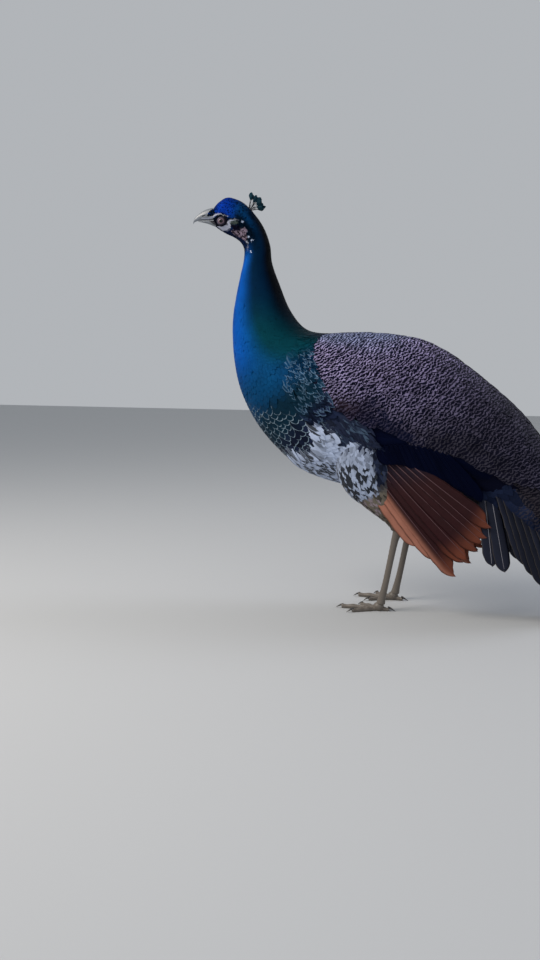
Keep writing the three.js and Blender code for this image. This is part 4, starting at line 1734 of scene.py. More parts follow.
    def shaft(self, k: int, rings: Array, share: Array) -> Shell:
        """The pale shaft: a tapering tube along the vane's middle, standing proud of its face.

        Args:
            k: Number of the feather.
            rings: The vane's rings.
            share: How far along each is.

        Returns:
            Its shell.
        """
        rings, share, at = rings[:-2], share[:-2], self.COLUMNS // 2
        middle, turn = rings[:, at], turns(self.SHAFT_SIDES)
        beside = unit(rings[:, at + 1] - rings[:, at - 1])
        up = np.cross(beside, unit(np.gradient(middle, axis=0)))
        radius = self.SHAFT[0] + (self.SHAFT[1] - self.SHAFT[0]) * share**0.7
        ring = -beside[:, None] * np.cos(turn)[:, None] + up[:, None] * np.sin(turn)[:, None]
        shell = tube(middle[:, None] + ring * radius[..., None])
        bake = 0.5 * (k + 0.5 + 0.02 * np.cos(turn)) / self.count, 0.94 + 0.04 * share
        rows = plain_rows(len(shell.points), COLOURS[self.quill_tint],
            OFBake=with_poles(stacked(ring.shape[:2], *bake)))
        return shell.painted(**rows)

    def side(self) -> Shell:
        """The left side's feathers."""
        rng = np.random.default_rng(self.seed)
        return joined([self.feather(k, *row, rng) for k, row in enumerate(self.placed())])

    def build_pair(self, finish: Material) -> None:
        """Makes the fans of both sides, each its own piece, in place of their solids.

        Args:
            finish: Their material.
        """
        for name, shell in both(self.side()):
            piece = make_object(f"{self.name}_quills_{name}", shell, finish)
            place(piece, self.slot, *([f"{self.name}_{name}"] if self.replaces else []))

    def build_joined(self, finish: Material) -> None:
        """Makes one piece of both sides, the left a little over the right where they meet.

        Args:
            finish: Their material.
        """
        left = self.side()
        right = mirrored(left)
        left.points = left.points + (0, self.OVERLAP, self.OVERLAP / 2)
        piece = make_object(f"{self.name}_quills", joined([left, right]), finish)
        place(piece, self.slot, self.name)


PRIMARIES = Fan("primaries", "chestnut_quills", 9, 31, ((62, 2, 254), (66, 40, 264), (69, 95, 262.5)),
    ((66, 107, 126), (63, 139, 108), (62, 173, 77), (62, 181, 106), (62, 193.3, 107.3), (61, 206, 121),
    (61, 216, 138), (60, 223, 151), (60, 227.3, 164)), stack=0.3, rim=0.3, slant=0.25, lows=3)
PRIMARY_COVERTS = Fan("primary_coverts", "blue_black_plumage", 14, 24, ((82, 46, 288), (85, 80, 294),
    (83, 118.4, 291.5), (77, 160.4, 279)), ((76, 62, 258.5), (72, 94, 256.3), (64, 146.7, 231.2),
    (58, 217.4, 203)), stack=0.2, roll=0.02, bow=0.0, tint="band", tip_tint="band", low_tint="band",
    quill_tint="band", accent="band", rim=0.0, replaces=False, seed=43)
TAIL = Fan("tail_feathers", "tail_quills", 8, 38, ((4, 238, 332), (13, 229, 320), (24, 210, 298)),
    ((5, 384, 22), (33, 344, 44), (58, 292, 97)), stack=-0.3, ridge=0.25, tint="tail", tip_tint="tail",
    quill_tint="tail_shaft", accent="tail_rim", rim=0.5, seed=41)
OUTER_TAIL = Fan("outer_tail", "tail_quills", 2, 27, ((25, 208, 292), (27, 202, 286)),
    ((62, 255, 87), (65, 239, 97)), stack=-0.6, tint="tail", tip_tint="tail", quill_tint="tail_shaft",
    accent="tail_rim", rim=0.5, seed=42)


# ---- Skin ----


class Eye:
    """The eyeball's place in the unturned head and its rings, by degrees from its axis.

    Attributes:
        radius: Of the ball.
        centre: Of the left ball.
        pupil: Where the iris begins.
        iris: Where the dark rim begins.
        opening: Half the lids' opening, lengthways and upright.
        bulge: How far the cornea stands out.
    """

    radius: float = 8.2
    centre: tuple[float, float, float] = (11.7, -272.2, 678.8)
    pupil: float = 21.0
    iris: float = 44.0
    opening: tuple[float, float] = (46.0, 39.0)
    bulge: float = 0.35

    ROWS = 60
    AROUND = 56
    LID_AROUND = 72
    LID_ACROSS = 12
    LID_REACH = 9.8

    def off_axis(self, polar: Array, radius: Array | float, turn: Array) -> Array:
        """Points so far from the ball's middle, polar off the axis of sight and turn round it."""
        aside = radius * np.sin(polar)
        rows = [radius * np.cos(polar) + 0 * turn, -aside * np.cos(turn), aside * np.sin(turn)]
        return np.stack(rows, -1) + self.centre

    def ball(self, side: int) -> Shell:
        """The ball, its poles on the axis of sight, tinted by ring.

        Args:
            side: 1 for the left eye, -1 for the right.

        Returns:
            Its shell.
        """
        front = np.linspace(1.0, 60.0, self.ROWS)
        polar = np.radians(np.concatenate([front, np.linspace(64, 178, 16)]))[:, None]
        degrees, turn = np.degrees(polar), turns(self.AROUND)
        radius = self.radius + self.bulge * (1 - smoothstep(0, np.radians(42), polar))
        shell = tube(TURN.applied(self.off_axis(polar, radius, turn)))
        streaks = 0.82 + 0.18 * np.sin(turn * 23 + 2 * np.sin(turn * 5)) * np.sin(turn * 9)
        inner = 1 - smoothstep(self.pupil, self.pupil + 7, degrees)
        tint = layered(COLOURS["iris"] * (streaks * (1 - 0.35 * inner))[..., None],
            (COLOURS["spot"], smoothstep(self.iris - 3, self.iris + 2, degrees)), (COLOURS["spot"] * 0.4,
            1 - smoothstep(self.pupil - 1, self.pupil + 1, degrees)))
        shell.painted(tint=with_poles(with_share(tint, 1.0)))
        return shell if side > 0 else self.other_side(shell)

    @staticmethod
    def other_side(shell: Shell) -> Shell:
        """The same on the right side of the turned head."""
        back = HeadTurn(angle=-TURN.angle).applied(shell.points)
        flipped = mirrored(Shell(back, shell.quads, shell.tris, shell.carried))
        flipped.points = TURN.applied(flipped.points)
        return flipped

    def lids(self) -> Shell:
        """The left eye's lids: a smooth ring from inside the ball's edge out to the head.

        Five rings are joined by a smooth curve: on the ball, over its edge, the fold, and two
        on the head.

        Returns:
            Its shell.
        """
        turn = np.linspace(0, 2 * np.pi, self.LID_AROUND + 1)
        wide, high = np.radians(self.opening)
        polar = np.sqrt((wide * np.cos(turn)) ** 2 + (high * np.sin(turn)) ** 2)
        polar = polar * (1 + 0.06 * np.cos(2 * turn + 0.5))
        out = np.stack([-np.cos(turn), np.sin(turn)], -1)
        found = lambda reach: BIRD.located(np.array(self.centre[1:]) + reach * out)
        rings = np.stack([self.off_axis(polar - 0.03, self.radius - 0.5, turn),
            self.off_axis(polar, self.radius + 0.35, turn), self.off_axis(polar + 0.16, self.radius
            + 0.85, turn), BIRD.unturned(*found(self.LID_REACH - 1.3), 0.35),
            BIRD.unturned(*found(self.LID_REACH + 0.6), -1.0)])
        at = np.linspace(0, len(rings) - 1, self.LID_ACROSS + 1)
        band = spline(rings.reshape(len(rings), -1), at).reshape(len(at), -1, 3)
        pale = np.exp(-(((at - 1.5) / 0.7) ** 2))[:, None] * (0.2 + 0.8 * np.cos((turn - 0.6) / 2) ** 4)
        tint = with_share(blend(COLOURS["lores"], COLOURS["lid"], pale).reshape(-1, 3), 1.0)
        return grids(TURN.applied(band[None])).painted(tint=tint)


EYE = Eye()


@dataclass(frozen=True)
class Toe:
    """One toe and its claw.

    Attributes:
        name: Which toe.
        heading: Degrees from straight ahead, outwards.
        length: From under the ankle to the claw's root.
        radius: At the heel.
        joints: Pads along it.
    """

    name: str
    heading: float
    length: float
    radius: float
    joints: int

    HEEL = 4.0
    TAPER = 0.3
    WAIST = 0.86
    SUNK = 0.82
    CLAW_LENGTH = 13.0
    CLAW_RADIUS = 2.7
    SCUTE = 3.3

    @property
    def ahead(self) -> Array:
        """The level direction it points in."""
        angle = math.radians(self.heading)
        return np.array([math.sin(angle), -math.cos(angle), 0.0])

    def girth(self, share: Array) -> Array:
        """Radius along the toe: tapering, with a waist between every two pads."""
        pads = np.cos(2 * np.pi * self.joints * share)
        waist = 1 - (1 - self.WAIST) * (1 - pads) / 2
        return self.radius * (1 - self.TAPER * share) * waist

    def middle(self, share: Array) -> Array:
        """Points of the toe's middle at shares of its length."""
        reach = self.HEEL + (self.length - self.HEEL) * share
        height = self.girth(share) * self.SUNK
        return Foot.HEEL + self.ahead * reach[..., None] + UP * height[..., None]

    def section(self, middle: Array, wide: Array, high: Array) -> Array:
        """Upright sections round points of the middle, so far aside and up."""
        angle = math.radians(self.heading)
        aside = np.array([math.cos(angle), math.sin(angle), 0.0])
        return middle[..., None, :] + aside * wide[..., None] + UP * high[..., None]

    def skin(self) -> Shell:
        """The toe's closed skin."""
        share, turn = np.linspace(0, 1, 30), turns(20)
        girth = self.girth(share)[:, None]
        return tube(self.section(self.middle(share), girth * np.cos(turn), girth * np.sin(turn)))

    def claw(self) -> Shell:
        """The claw: a tapering horn, arched up at its root, with a flatter underside."""
        share, turn = np.linspace(0, 1, 22), turns(18)
        radius = self.CLAW_RADIUS * (1 - 0.9 * share**1.3)
        arch = 2.6 * np.sin(np.pi * (0.28 + 0.66 * share)) * (1 - 0.45 * share)
        middle = Foot.HEEL + self.ahead * (self.length - 2.5 + self.CLAW_LENGTH * share)[:, None]
        middle[:, 2] = radius + 0.05 + arch + 0.9 * (1 - share)
        wide = radius[:, None] * 0.86 * np.cos(turn)
        high = radius[:, None] * np.where(np.sin(turn) < 0, 0.75, 1.0) * np.sin(turn)
        return tube(self.section(middle, wide, high))

    def scutes(self) -> Shell:
        """Short plates over the top of the toe, each lapping the next."""
        count = int((self.length - self.HEEL) / self.SCUTE)
        start = (np.arange(count) + 0.2) / count
        share = np.clip(start[:, None] + np.linspace(0, 1.5, 4) / count, 0, 1)
        turn = np.radians(np.linspace(28, 152, 9))
        lift = np.array([0.1, 0.35, 0.45, 0.1])[:, None]
        crown = 1 - 0.6 * np.abs(np.cos(turn)) ** 3
        radius = self.girth(share)[..., None] + lift * crown - 0.15 * (1 - crown)
        points = self.section(self.middle(share), -radius * np.cos(turn), radius * np.sin(turn))
        return grids(points[:, :, ::-1])


TARSUS = Limb(((46, 69, 147.6, 7.2, 1), (46, 70, 139, 8, 0.9), (46, 66, 126, 6.2, 0.85),
    (46, 59, 92, 5.4, 0.85), (46, 51, 52, 5.4, 0.88), (46, 45, 26, 6.2, 0.95), (46, 42, 13, 7.6, 1)))
THIGH = Limb(((40, 10, 294, 33, 1), (46, 12, 262, 50, 0.72), (49, 22, 230, 46, 0.68),
    (49, 38, 202, 33, 0.74), (48, 52, 180, 22, 0.8), (47, 63, 161, 13, 0.9), (46, 68, 148, 8.6, 0.95)))


class Foot:
    """The left lower leg and foot: scaly skin, plates and claws."""

    HEEL = np.array([46.0, 36.0, 0.0])
    PALM = (46.0, 38.0, 7.0)
    PALM_SIZE = (8.8, 9.7, 8.4)
    TOES = (Toe("inner", -34, 44, 5.0, 2), Toe("middle", 3, 64, 5.4, 3), Toe("outer", 38, 47, 4.9, 3),
        Toe("hind", 186, 21, 4.4, 2))
    VOXEL = 0.9
    TARSUS_SCUTES = 22

    @classmethod
    def skin(cls) -> Shell:
        """Lower leg, palm and toes as closed shells that run into each other."""
        u, v = np.meshgrid(np.linspace(0, TARSUS.last, 90), turns(28), indexing="ij")
        polar, turn = np.linspace(0.02, np.pi - 0.02, 16)[:, None], turns(24)
        flat = np.sin(polar)
        ball = np.stack([flat * np.cos(turn), flat * np.sin(turn), np.cos(polar) + 0 * turn], -1)
        palm = tube((ball * cls.PALM_SIZE + cls.PALM)[::-1])
        return joined([tube(TARSUS.point(u, v)), palm, *(toe.skin() for toe in cls.TOES)])

    @classmethod
    def plates(cls) -> Shell:
        """Two columns of lapping plates down the front of the leg, and those of the toes."""
        pitch = (TARSUS.last - 1.1) / cls.TARSUS_SCUTES
        crown = 1 - np.abs(np.linspace(-1, 1, 8)) ** 3
        lift = np.array([0.05, 0.4, 0.5, 0.1])[:, None] * crown - 0.25 * (1 - crown)
        shells = []
        for column, offset in ((-1, 0.0), (1, 0.5)):
            start = 0.9 + (np.arange(cls.TARSUS_SCUTES) + offset) * pitch
            u = start[:, None] + np.linspace(0, 1.45, 4) * pitch
            v = np.pi / 2 + column * math.radians(27) + np.radians(np.linspace(-31, 31, 8))
            shells.append(grids(TARSUS.point(*np.broadcast_arrays(u[..., None], v, lift))))
        return joined(shells + [toe.scutes() for toe in cls.TOES])


def around_grid(u: Array, count: int) -> tuple[Array, Array]:
    """Parameters of a closed skin: rows at u, an even count of places round each."""
    v = np.linspace(-np.pi, np.pi, count, endpoint=False)
    return np.meshgrid(u, v, indexing="ij")


class Skin:
    """One skin under the whole coat: head, neck, body, thighs, scaly legs and toes."""

    FACE_ROWS = 140
    BODY_ROWS = 105
    AROUND = 180
    WING_DEPTH = 4.6
    SOCKET = (5.0, 8.2)  # from the eye's middle: where the skin is deepest, where it ends
    NODES = ("head", "neck", "trunk", "tail_coverts", "thigh_left", "thigh_right", "leg_left",
        "leg_right")

    def lift(self, u: Array, v: Array) -> Array:
        """How far the skin stands over the outline: below it by the coat's depth.

        Args:
            u: Rungs.
            v: Signed angles.

        Returns:
            Millimetres.
        """
        degrees, places = degrees_round(v), BIRD.profile(u, v)
        lift = -BodyCoats.DEPTH(u, v)
        for layer in (BAND, WING):
            raised = layer.lift(u, degrees) * layer.inside(u, degrees, 0.12)
            lift = np.maximum(lift, raised - self.WING_DEPTH)
        on_face = u < 5
        brow = Face.near(places, Face.STRIPE, 1.2) * on_face
        cheek = Face.near(places, Face.CHEEK, 1.5) * on_face
        socket = (1 - smoothstep(*self.SOCKET, Face.from_eye(places))) * on_face
        return lift + 0.75 * brow + 0.6 * cheek - 6.0 * socket

    def body(self) -> Shell:
        """Head, neck and body."""
        face = np.linspace(0, 6, self.FACE_ROWS, endpoint=False)
        behind = np.linspace(6, LAST_RUNG, self.BODY_ROWS)
        u, v = around_grid(np.concatenate([face, behind]), self.AROUND)
        shell = tube(BIRD.point(u, v, self.lift(u, v)))
        degrees, bare = degrees_round(v), Face.bare(BIRD.profile(u, v), u)
        # Under the coat the skin's colour is darkened: a painted shade of the feathers over it.
        tint = Markings.tint(Spot(u, v, np.full(u.shape, 0.5))) * (1 - 0.35 * (1 - bare))[..., None]
        hidden = np.maximum(WING.inside(u, degrees), BAND.inside(u, degrees))
        tint = blend(tint, COLOURS["bar_ground"], hidden)
        return shell.painted(tint=with_poles(with_share(tint, bare)))

    def thigh(self) -> Shell:
        """The left thigh, inside its downy coat."""
        u, v = around_grid(np.linspace(0, THIGH.last, 40), 40)
        shell = tube(THIGH.point(u, v, -ThighCoat.depth(u, v)))
        # The thigh's skin is darkened: a painted shade under its coat.
        return shell.painted(tint=np.append(COLOURS["thigh"] * 0.6, 0.0))

    def legs(self) -> Shell:
        """Both lower legs and feet, each grown into one smooth skin that stands on the floor."""
        rough = make_object("leg_form", Foot.skin())
        remesh = rough.modifiers.new("grown", "REMESH")
        remesh.mode = "VOXEL"
        remesh.voxel_size = Foot.VOXEL * METRES
        smooth = rough.modifiers.new("eased", "SMOOTH")
        smooth.factor, smooth.iterations = 0.5, 5
        grown = rough.evaluated_get(bpy.context.evaluated_depsgraph_get()).to_mesh()
        points = gathered(grown.vertices, "co", np.float32, 3).reshape(-1, 3)
        points = points / METRES - (0, FOOTPRINT_SHIFT, 0)
        points[:, 2] = np.maximum(points[:, 2], 0)
        quads = gathered(grown.loops, "vertex_index", np.int32).reshape(-1, 4)
        bpy.data.objects.remove(rough)
        left = Shell(points, quads).painted(tint=np.append(COLOURS["scale"], 1.0))
        return joined([left, mirrored(left)])

    def build(self, hide: Material, scaly: Material) -> None:
        """Makes the skin in place of every solid of flesh.

        Args:
            hide: Skin under plumage, and the bare face.
            scaly: Skin of the legs.
        """
        thigh, lid = self.thigh(), EYE.lids()
        flesh = joined([self.body(), thigh, mirrored(thigh), lid, Eye.other_side(lid)])
        piece = make_object("skin", joined([flesh, self.legs()]), hide, scaly)
        faces = piece.data.polygons
        first = gathered(faces, "loop_start", np.int32)
        corners = gathered(piece.data.loops, "vertex_index", np.int32)
        on_leg = (corners[first] >= len(flesh.points)).astype(np.int32)
        faces.foreach_set("material_index", on_leg)
        place(piece, "body_plumage", *self.NODES)


class ThighCoat:
    """The short downy feathers of the thighs."""

    @staticmethod
    def depth(u: Array, v: Array) -> Array:
        """How deep the skin lies, less towards the leg."""
        return 3.5 * (1 - 0.6 * u / THIGH.last)

    @staticmethod
    def paint(at: Spot, side: int) -> Paint:
        """White high in front, dark slate behind, buff-grey below."""
        c, noise = COLOURS, at.noise[..., None]
        turn = np.degrees(at.v) * side
        high = 1 - at.share(2.5, 3.2)
        streaky = np.maximum(np.exp(-(((turn + 62) / 15) ** 2)), 1 - at.share(0.4, 0.8))
        pale = 0.6 * streaky * (at.noise > 0.45)
        lobe = high * smoothstep(-36, -14, turn) * at.share(0.2, 0.7)
        lobe = smoothstep(0.3, 0.6, lobe + 0.6 * (at.noise - 0.5))
        from_u = np.interp(turn, [-20, 25], [1.55, 1.1])
        blotch = smoothstep(0, 0.15, at.u - from_u) * (at.noise < 0.5) * lobe
        lower = at.share(2.8, 3.2) * (1 - at.share(4.2, 5.0))
        tint = layered(c["thigh"], (c["vent"], at.share(3.0, 5.5) * 0.6),
            (blend(at.shade("flank", 0.6, 1.0), c["white"] * 0.4, pale),
            np.maximum(high, 1 - smoothstep(-75, -45, turn))), (at.shade("white", 0.5, 0.25), lobe),
            (c["spot"], 0.9 * blotch), (c["spot"], 0.6 * lower * (at.noise < 0.25)),
            (c["fleck"], 0.5 * lower * (at.noise > 0.82)))
        return paint_rows(tint * (0.8 + 0.4 * noise), tint)

    def build(self, side: int, finish: Material) -> None:
        """Lays one thigh's coat.

        Args:
            side: 1 for the left thigh, -1 for the right.
            finish: Its material.
        """
        Coat(f"thigh_coat_{side_name(side)}", "thigh_plumage", THIGH if side > 0 else Mirrored(THIGH),
            DOWNY, 0.1, THIGH.last + 0.12, length=table((0, 26), (3, 22), (6, 10)),
            width=table((0, 9), (3, 7), (6, 3.6)), covers=even(1.0), paint=lambda at: self.paint(at,
            side), proud=1.2, fluff=0.18, swell=lambda u, v: 3.0 * (1 - smoothstep(1.5, 3.0, u)),
            sunk=self.depth, overlap=3.6, crowd=1.8, seed=60 + side).build(finish)


# ---- Bill, crest and claws ----


@dataclass(frozen=True)
class BillHalf(Surface):
    """One half of the bill, from its tip to its base.

    At row u and angle v from the top, a point stands half the height times cos v over the
    middle and the half width times sin v to the left; the upper half is pinched to a ridge.

    Attributes:
        rows: y, top z, bottom z and half width.
        pinch: How far the top is pinched.
    """

    rows: tuple[tuple[float, float, float, float], ...]
    pinch: float

    @property
    def last(self) -> int:
        """The highest u."""
        return len(self.rows) - 1

    def unturned(self, u: Array, v: Array, lift: Array | float = 0.0) -> Array:
        """Points before the head's turn."""
        row = spline(np.array(self.rows, float), u)
        y, top, bottom, half = (row[..., i] for i in range(4))
        up, aside = np.cos(v), np.sin(v)
        x = (half * (1 - self.pinch * np.clip(up, 0, 1)) + lift) * aside
        return np.stack([x, y + 0 * x, (top + bottom) / 2 + ((top - bottom) / 2 + lift) * up], -1)

    def point(self, u: Array, v: Array, lift: Array | float = 0.0) -> Array:
        """Points on the posed bird."""
        return TURN.applied(self.unturned(u, v, lift))

    def unwrap(self, u: Array, v: Array) -> Array:
        """Rows along, turns round."""
        return unrolled(u / self.last, v / (2 * np.pi) + 0.5)


@dataclass(frozen=True)
class Bill:
    """The bill's two halves, its nostrils and the feathers over its base."""

    upper: BillHalf = BillHalf(((-325, 680.2, 676.2, 0.9), (-322.6, 686, 679, 2.6),
        (-317.5, 691.4, 681, 4.1), (-310.5, 696.6, 681.9, 5.5), (-303, 700.6, 682.1, 6.8),
        (-295.5, 703, 682.3, 7.8), (-288.6, 704, 682.8, 8.4), (-280, 704.5, 683.5, 8)), 0.16)
    lower: BillHalf = BillHalf(((-315.5, 681, 680, 1), (-312, 681.2, 679.2, 2.7), (-306, 681.4, 678, 4.6),
        (-297, 681.6, 675.6, 6.2), (-288.6, 681.8, 672.2, 7.4), (-278, 682, 669, 7.6)), -0.05)
    nostril: tuple[float, float] = (-305.2, 689.4)
    nostril_size: tuple[float, float] = (3.6, 1.3)

    ROWS = 110
    AROUND = 64

    def half(self, surface: BillHalf, upper: bool) -> Shell:
        """One half's horn, hollowed at the nostril.

        Args:
            surface: Its form.
            upper: Whether it is the upper half.

        Returns:
            Its shell.
        """
        u, v = around_grid(np.linspace(0, surface.last, self.ROWS), self.AROUND)
        points = surface.unturned(u, v)
        places = points[..., 1:]
        hollow, flap = self.at_nostril(places) if upper else (0 * u, 0 * u)
        points[..., 0] += np.sign(points[..., 0]) * (0.55 * flap - 1.7 * hollow)
        tint = with_share(self.tint(places, np.cos(v), hollow, upper), 1.0)
        return tube(TURN.applied(points)).painted(tint=with_poles(tint))

    def at_nostril(self, places: Array) -> tuple[Array, Array]:
        """How far inside the nostril, and on the flap over it, places of the side view are."""
        y, z = places[..., 0] - self.nostril[0], places[..., 1] - self.nostril[1]
        along, tilt = y / self.nostril_size[0], z - 0.12 * y
        hollow = 1 - smoothstep(0.55, 1.05, np.hypot(along, tilt / self.nostril_size[1]))
        flap = 1 - smoothstep(0.4, 1.3, np.hypot(along * 0.8, (tilt - 1.9) / 1.5))
        return hollow, flap

    @staticmethod
    def tint(places: Array, up: Array, hollow: Array, upper: bool) -> Array:
        """Blue-grey horn, paler to the tip; bare skin at the gape, dark at the lores; the nostril's
        hollow is painted near black, a painted shade.
        """
        c = COLOURS
        tip = 1 - smoothstep(-322, -304, places[..., 0])
        # The nostril's hollow is painted near black: a painted shade.
        return layered(c["horn"], (c["horn_pale"], 0.35 * tip), (c["horn_dark"], smoothstep(0.75, 1.0, up)
            * (0.35 if upper else 0.0)), (c["lores"], Face.near(places, Face.FOREHEAD, 0.8)),
            (c["lores"], Face.near(places, Face.LORES, 1.0)),
            (c["bare_skin"], Face.near(places, Face.STRIPE, 0.6)), (c["lores"] * 0.2, hollow))

    def forehead(self, finish: Material) -> None:
        """Lays the small dark feathers that run forward over the bill's base."""
        surface = self.upper

        def paint(at: Spot) -> Paint:
            """Near black, some of them browner."""
            tint = blend(at.shade("crown_dark", 0.4, 1.0), COLOURS["crown"], 0.4 * (at.noise > 0.8))
            return paint_rows(tint, tint)

        Coat("forehead_coat", "blue_plumage", surface, SMALL, 4.3, 6.6, length=even(3.6), width=even(2.0),
            sunk=even(0.6), paint=paint, proud=0.4, fluff=0.14, crowd=2.0, seed=10, covers=lambda u,
            v: Face.near(surface.unturned(u, v)[..., 1:], Face.FOREHEAD)).build(finish)

    def build(self, finish: Material) -> None:
        """Makes both halves."""
        for name, surface in (("bill_upper", self.upper), ("bill_lower", self.lower)):
            piece = make_object(f"{name}_horn", self.half(surface, name == "bill_upper"), finish)
            place(piece, "horn_bill", name)


@dataclass(frozen=True)
class Crest:
    """The crest: bare shafts in a fan, each ending in a small brush.

    Attributes:
        root: Where the shafts meet on the crown.
        count: How many plumes.
        rise: Degrees of the lowest and the highest over level.
        splay: How far they spread aside.
        shaft: Length of the bare shaft.
        brush: Length and width of the brush.
    """

    root: tuple[float, float, float] = (0.0, -225.0, 698.0)
    count: int = 24
    rise: tuple[float, float] = (4.0, 88.0)
    splay: float = 0.24
    shaft: float = 23.0
    brush: tuple[float, float] = (12.5, 7.0)

    SHAFT_RADIUS = (0.42, 0.28)
    ROWS = 12
    BRUSH_ROWS = 9
    BRUSH_COLUMNS = 8

    def plume(self, share: float, rng: np.random.Generator) -> Shell:
        """One plume: its shaft a thin tube in a slight bow, its brush a fan-shaped vane.

        Args:
            share: Its place in the fan, 0 lowest.
            rng: Source of its unevenness.

        Returns:
            Its shell.
        """
        angle = math.radians(np.interp(share, [0, 1], self.rise) + rng.normal(0, 0.8))
        aside = self.splay * rng.uniform(-1, 1)
        along = unit(np.array([aside, math.cos(angle), math.sin(angle)]))
        across = unit(np.array([0.25 * rng.normal(), -along[2], along[1]]))
        across = unit(across - along * (across @ along))
        out = np.cross(across, along)
        out, across = (out, across) if out[0] > 0 else (-out, -across)
        length = self.shaft * rng.uniform(0.84, 1.04)
        full = length + self.brush[0] * rng.uniform(0.85, 1.05)
        bow = rng.uniform(-0.6, 1.6)
        start = np.array(self.root) + along * -3 + (22 * aside, 3 * rng.uniform(-1, 1), 0)
        raised = lambda s: UP * (bow * np.sin(np.pi * s / full))[..., None]
        line = lambda s: start + along * s[..., None] + raised(s)
        s, turn = np.linspace(0, full * 0.93, self.ROWS), turns(6)
        radius = np.interp(s / full, [0, 1], self.SHAFT_RADIUS)
        ring = -across * np.cos(turn)[:, None] + out * np.sin(turn)[:, None]
        shaft = tube(line(s)[:, None] + ring * radius[:, None, None])
        shade = COLOURS["crest_shaft"] * rng.choice([0.25, 0.6, 1.6])
        shaft.painted(**plain_rows(len(shaft.points), shade))

        t = np.linspace(0, 1, self.BRUSH_ROWS)[:, None]
        b = np.linspace(-1, 1, self.BRUSH_COLUMNS + 1)
        half = self.brush[1] / 2 * rng.uniform(0.85, 1.1)
        width = half * (0.08 + 0.92 * np.minimum(t * 1.25, 1) ** 0.9) * (1 - 0.25 * t**6)
        reach = (full - length) * (t * (1 - 0.22 * b**2) + 0.05 * t**3 * rng.uniform(-1, 1, b.shape))
        lie = 0.25 * width * (1 - b**2) + 0.3
        points = line(length + reach) + across * (width * b)[..., None] + out * lie[..., None]
        shade = COLOURS["crest_tip"] * rng.uniform(0.7, 1.4)
        vane = stacked(lie.shape, width * (1 - np.abs(b)), (full - length) * (1 - t), width * b)
        faces = [shaft]
        for face, rows in ((points, vane), ((points - out * 0.35)[:, ::-1], vane[:, ::-1])):
            rows = plain_rows(lie.size, shade, vane=rows.reshape(-1, 3))
            faces.append(grids(face[None]).painted(**rows))
        return joined(faces)

    def build(self, finish: Material) -> None:
        """Makes the crest."""
        rng = np.random.default_rng(50)
        plumes = [self.plume(k / (self.count - 1), rng) for k in range(self.count)]
        for k, plume in enumerate(plumes):
            across = (plume.carried["vane"][:, 2] / 9.6 + 0.5).clip(0, 1)
            down = 0.02 + 0.96 * np.linspace(0, 1, len(across))
            plume.painted(OFBake=np.stack([(k + 0.1 + 0.8 * across) / self.count, down], -1))
        shell = joined(plumes)
        shell.points = TURN.applied(shell.points)
        place(make_object("crest_fans", shell, finish), "crest_plumes", "crest")


# ---- The rest ----


@dataclass
class Horn(Finish):
    """Keratin of bill, claws and leg plates: smooth, faintly grained, with a dull polish.

    Attributes:
        roughness: Of the surface.
        grain: Millimetres of its fine grain.
        relief: Strength of the grain's relief.
        coat: Strength of the polish.
        ior: Index of refraction.
    """

    roughness: float = 0.4
    grain: float = 1.2
    relief: float = 0.2
    coat: float = 0.15
    ior: float = 1.55

    def build(self) -> Material:
        """Makes the material."""
        noise = self.grained(1 / (self.grain * METRES), 3.0)
        value = self.sums("MULTIPLY_ADD", noise, 0.5, 0.75)
        return self.finish(self.read("tint", "Color"), value, noise, 0.0004, Roughness=self.roughness,
            IOR=self.ior, Coat_Weight=self.coat, Coat_Roughness=0.25)


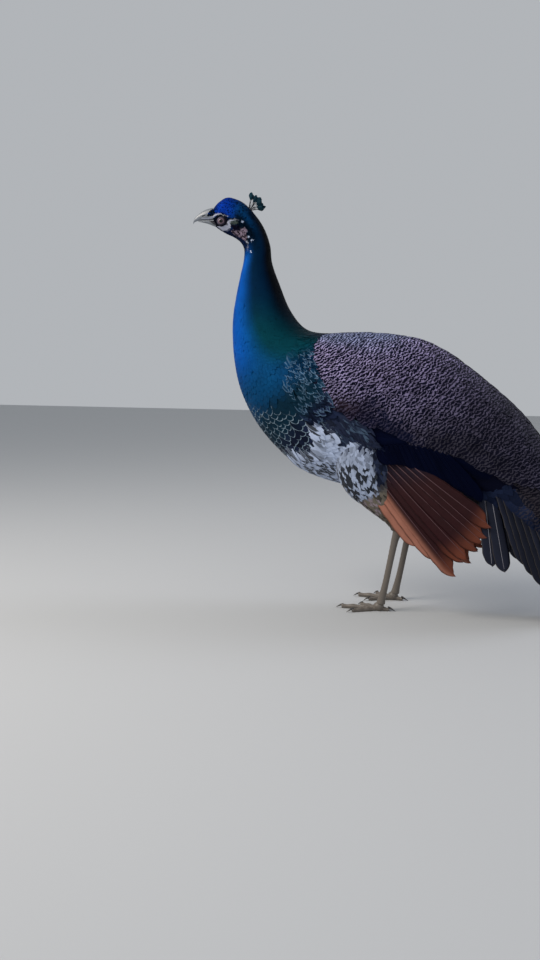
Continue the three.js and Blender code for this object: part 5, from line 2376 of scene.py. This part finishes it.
@dataclass(frozen=True)
class Studio:
    """Floor, soft lights and camera.

    Attributes:
        lens: Millimetres, for a picture 36 mm high.
        eye: Where the camera stands, in metres.
        look: The level direction in which it looks.
        pitch: Degrees down.
    """

    lens: float = 41.25
    eye: tuple[float, float, float] = (1.856, 0.53263, 0.447)
    look: tuple[float, float] = (-0.927, -0.375)
    pitch: float = 6.637

    FLOOR = "#b9bbbd"
    SIDE = 12.0

    def floor(self) -> None:
        """A plain pale floor."""
        mesh = bpy.data.meshes.new("floor")
        s = self.SIDE / 2
        mesh.from_pydata([(-s, -s, 0), (s, -s, 0), (s, s, 0), (-s, s, 0)], [], [(0, 1, 2, 3)])
        paint = bpy.data.materials.new("matt pale floor paint")
        paint.use_nodes = True
        shader = paint.node_tree.nodes["Principled BSDF"]
        shader.inputs["Base Color"].default_value = rgba(self.FLOOR)
        shader.inputs["Roughness"].default_value = 0.9
        mesh.materials.append(paint)
        linked("floor", mesh)

    def lamp(self, name: str, at: tuple[float, float, float], size: float, watts: float,
            colour: str) -> None:
        """A soft square lamp that faces the bird's middle.

        Args:
            name: Its name.
            at: Where it stands, in metres.
            size: Its side.
            watts: Its power.
            colour: Of its light.
        """
        data = bpy.data.lights.new(name, "AREA")
        data.size, data.energy, data.color = size, watts, tuple(linear(colour))
        lamp = linked(name, data)
        lamp.location = at
        lamp.rotation_euler = (Vector((0, 0, 0.4)) - Vector(at)).to_track_quat("-Z", "Y").to_euler()

    def camera(self) -> None:
        """The camera, looking level and a little down across the bird's left side."""
        data = bpy.data.cameras.new("camera")
        data.lens, data.sensor_width = self.lens, 36.0
        camera = linked("camera", data)
        camera.location = self.eye
        drop = math.tan(math.radians(self.pitch))
        aim = Vector((*self.look, -drop * math.hypot(*self.look)))
        camera.rotation_euler = aim.to_track_quat("-Z", "Y").to_euler()
        bpy.context.scene.camera = camera

    def build(self) -> None:
        """Sets everything up."""
        self.floor()
        self.lamp("key", (1.2, -1.4, 1.9), 1.3, 44.0, "#fff6ea")
        self.lamp("fill", (2.2, 1.2, 1.1), 1.8, 8.0, "#e8f0ff")
        self.lamp("rim", (-1.2, 1.3, 1.9), 1.0, 14.0, "#eef2ff")
        world = bpy.data.worlds.new("studio")
        world.use_nodes = True
        sky = world.node_tree.nodes["Background"]
        sky.inputs[0].default_value = rgba("#dfe3e8")
        sky.inputs[1].default_value = 0.6
        bpy.context.scene.world = world
        bpy.context.scene.view_settings.view_transform = "Standard"
        self.camera()


def build_claws(finish: Material) -> None:
    """Makes each side's four claws as one piece, in place of their solids."""
    left = joined([toe.claw() for toe in Foot.TOES])
    for name, shell in both(left.painted(tint=np.append(COLOURS["claw"], 1.0))):
        nodes = [f"claw_{toe.name}_{name}" for toe in Foot.TOES]
        place(make_object(f"claws_{name}", shell, finish), "horn_claw", *nodes)


def build_plates(finish: Material) -> None:
    """Makes the horny plates of both legs."""
    for name, shell in both(Foot.plates().painted(tint=np.append(COLOURS["scale"] * 1.1, 1.0))):
        place(make_object(f"leg_plates_{name}", shell, finish), "scaly_leg")


def build_eyes(finish: Material) -> None:
    """Makes both eyeballs."""
    for side in (1, -1):
        name = side_name(side)
        place(make_object(f"eyeball_{name}", EYE.ball(side), finish), "eye", f"eye_{name}")


def main() -> None:
    """Builds the bird's looks, then the studio."""
    blue = Plumage("structural blue plumage", 0.45, 0.3, specular=0.05, sheen=0.0, gloss_tint="#1c4a80",
        barb_period=0.9, edge_width=2.1).build()
    barred = Plumage("barred vane plumage", 0.6, specular=0.08, sheen=0.0, bar_period=6.6,
        gloss_tint="#8890c0").build()
    soft = Plumage("downy plumage", 0.9, specular=0.1, sheen=0.1, relief=0.2).build()
    glossy = Plumage("glossy blue-black plumage", 0.42, 0.25, specular=0.08, sheen=0.0,
        gloss_tint="#223a70", relief=0.5).build()
    quills = Plumage("flight feather vane", 0.5, specular=0.1, sheen=0.0, barb_period=1.2, edge_width=1.6,
        relief=0.5).build()
    hide = Horn("feathered bird skin", 0.75, 0.9, 0.35, 0.0, ior=1.15).build()
    scaly = Horn("scaly leg skin", 0.5, 1.0, 0.5, 0.1).build()
    horn = Horn("bill horn", 0.38, 1.6, 0.12, 0.25).build()
    claw = Horn("claw horn", 0.32, 1.2, 0.15, 0.3).build()
    eyes = Horn("wet cornea over iris", 0.1, 0.6, 0.0, 0.0, ior=1.38).build()

    Skin().build(hide, scaly)
    BodyCoats().build(blue, barred, soft)
    for side in (1, -1):
        wing = WingCoats(side)
        wing.coverts(barred)
        wing.band(glossy)
        wing.collar(blue)
        wing.flank(soft)
        ThighCoat().build(side, soft)
    PRIMARIES.build_pair(quills)
    PRIMARY_COVERTS.build_pair(glossy)
    OUTER_TAIL.build_pair(quills)
    TAIL.build_joined(quills)
    Bill().build(horn)
    Bill().forehead(blue)
    Crest().build(glossy)
    build_eyes(eyes)
    build_plates(scaly)
    build_claws(claw)
    Studio().build()


if __name__ == "__main__":
    logging.basicConfig(level=logging.INFO)
    main()
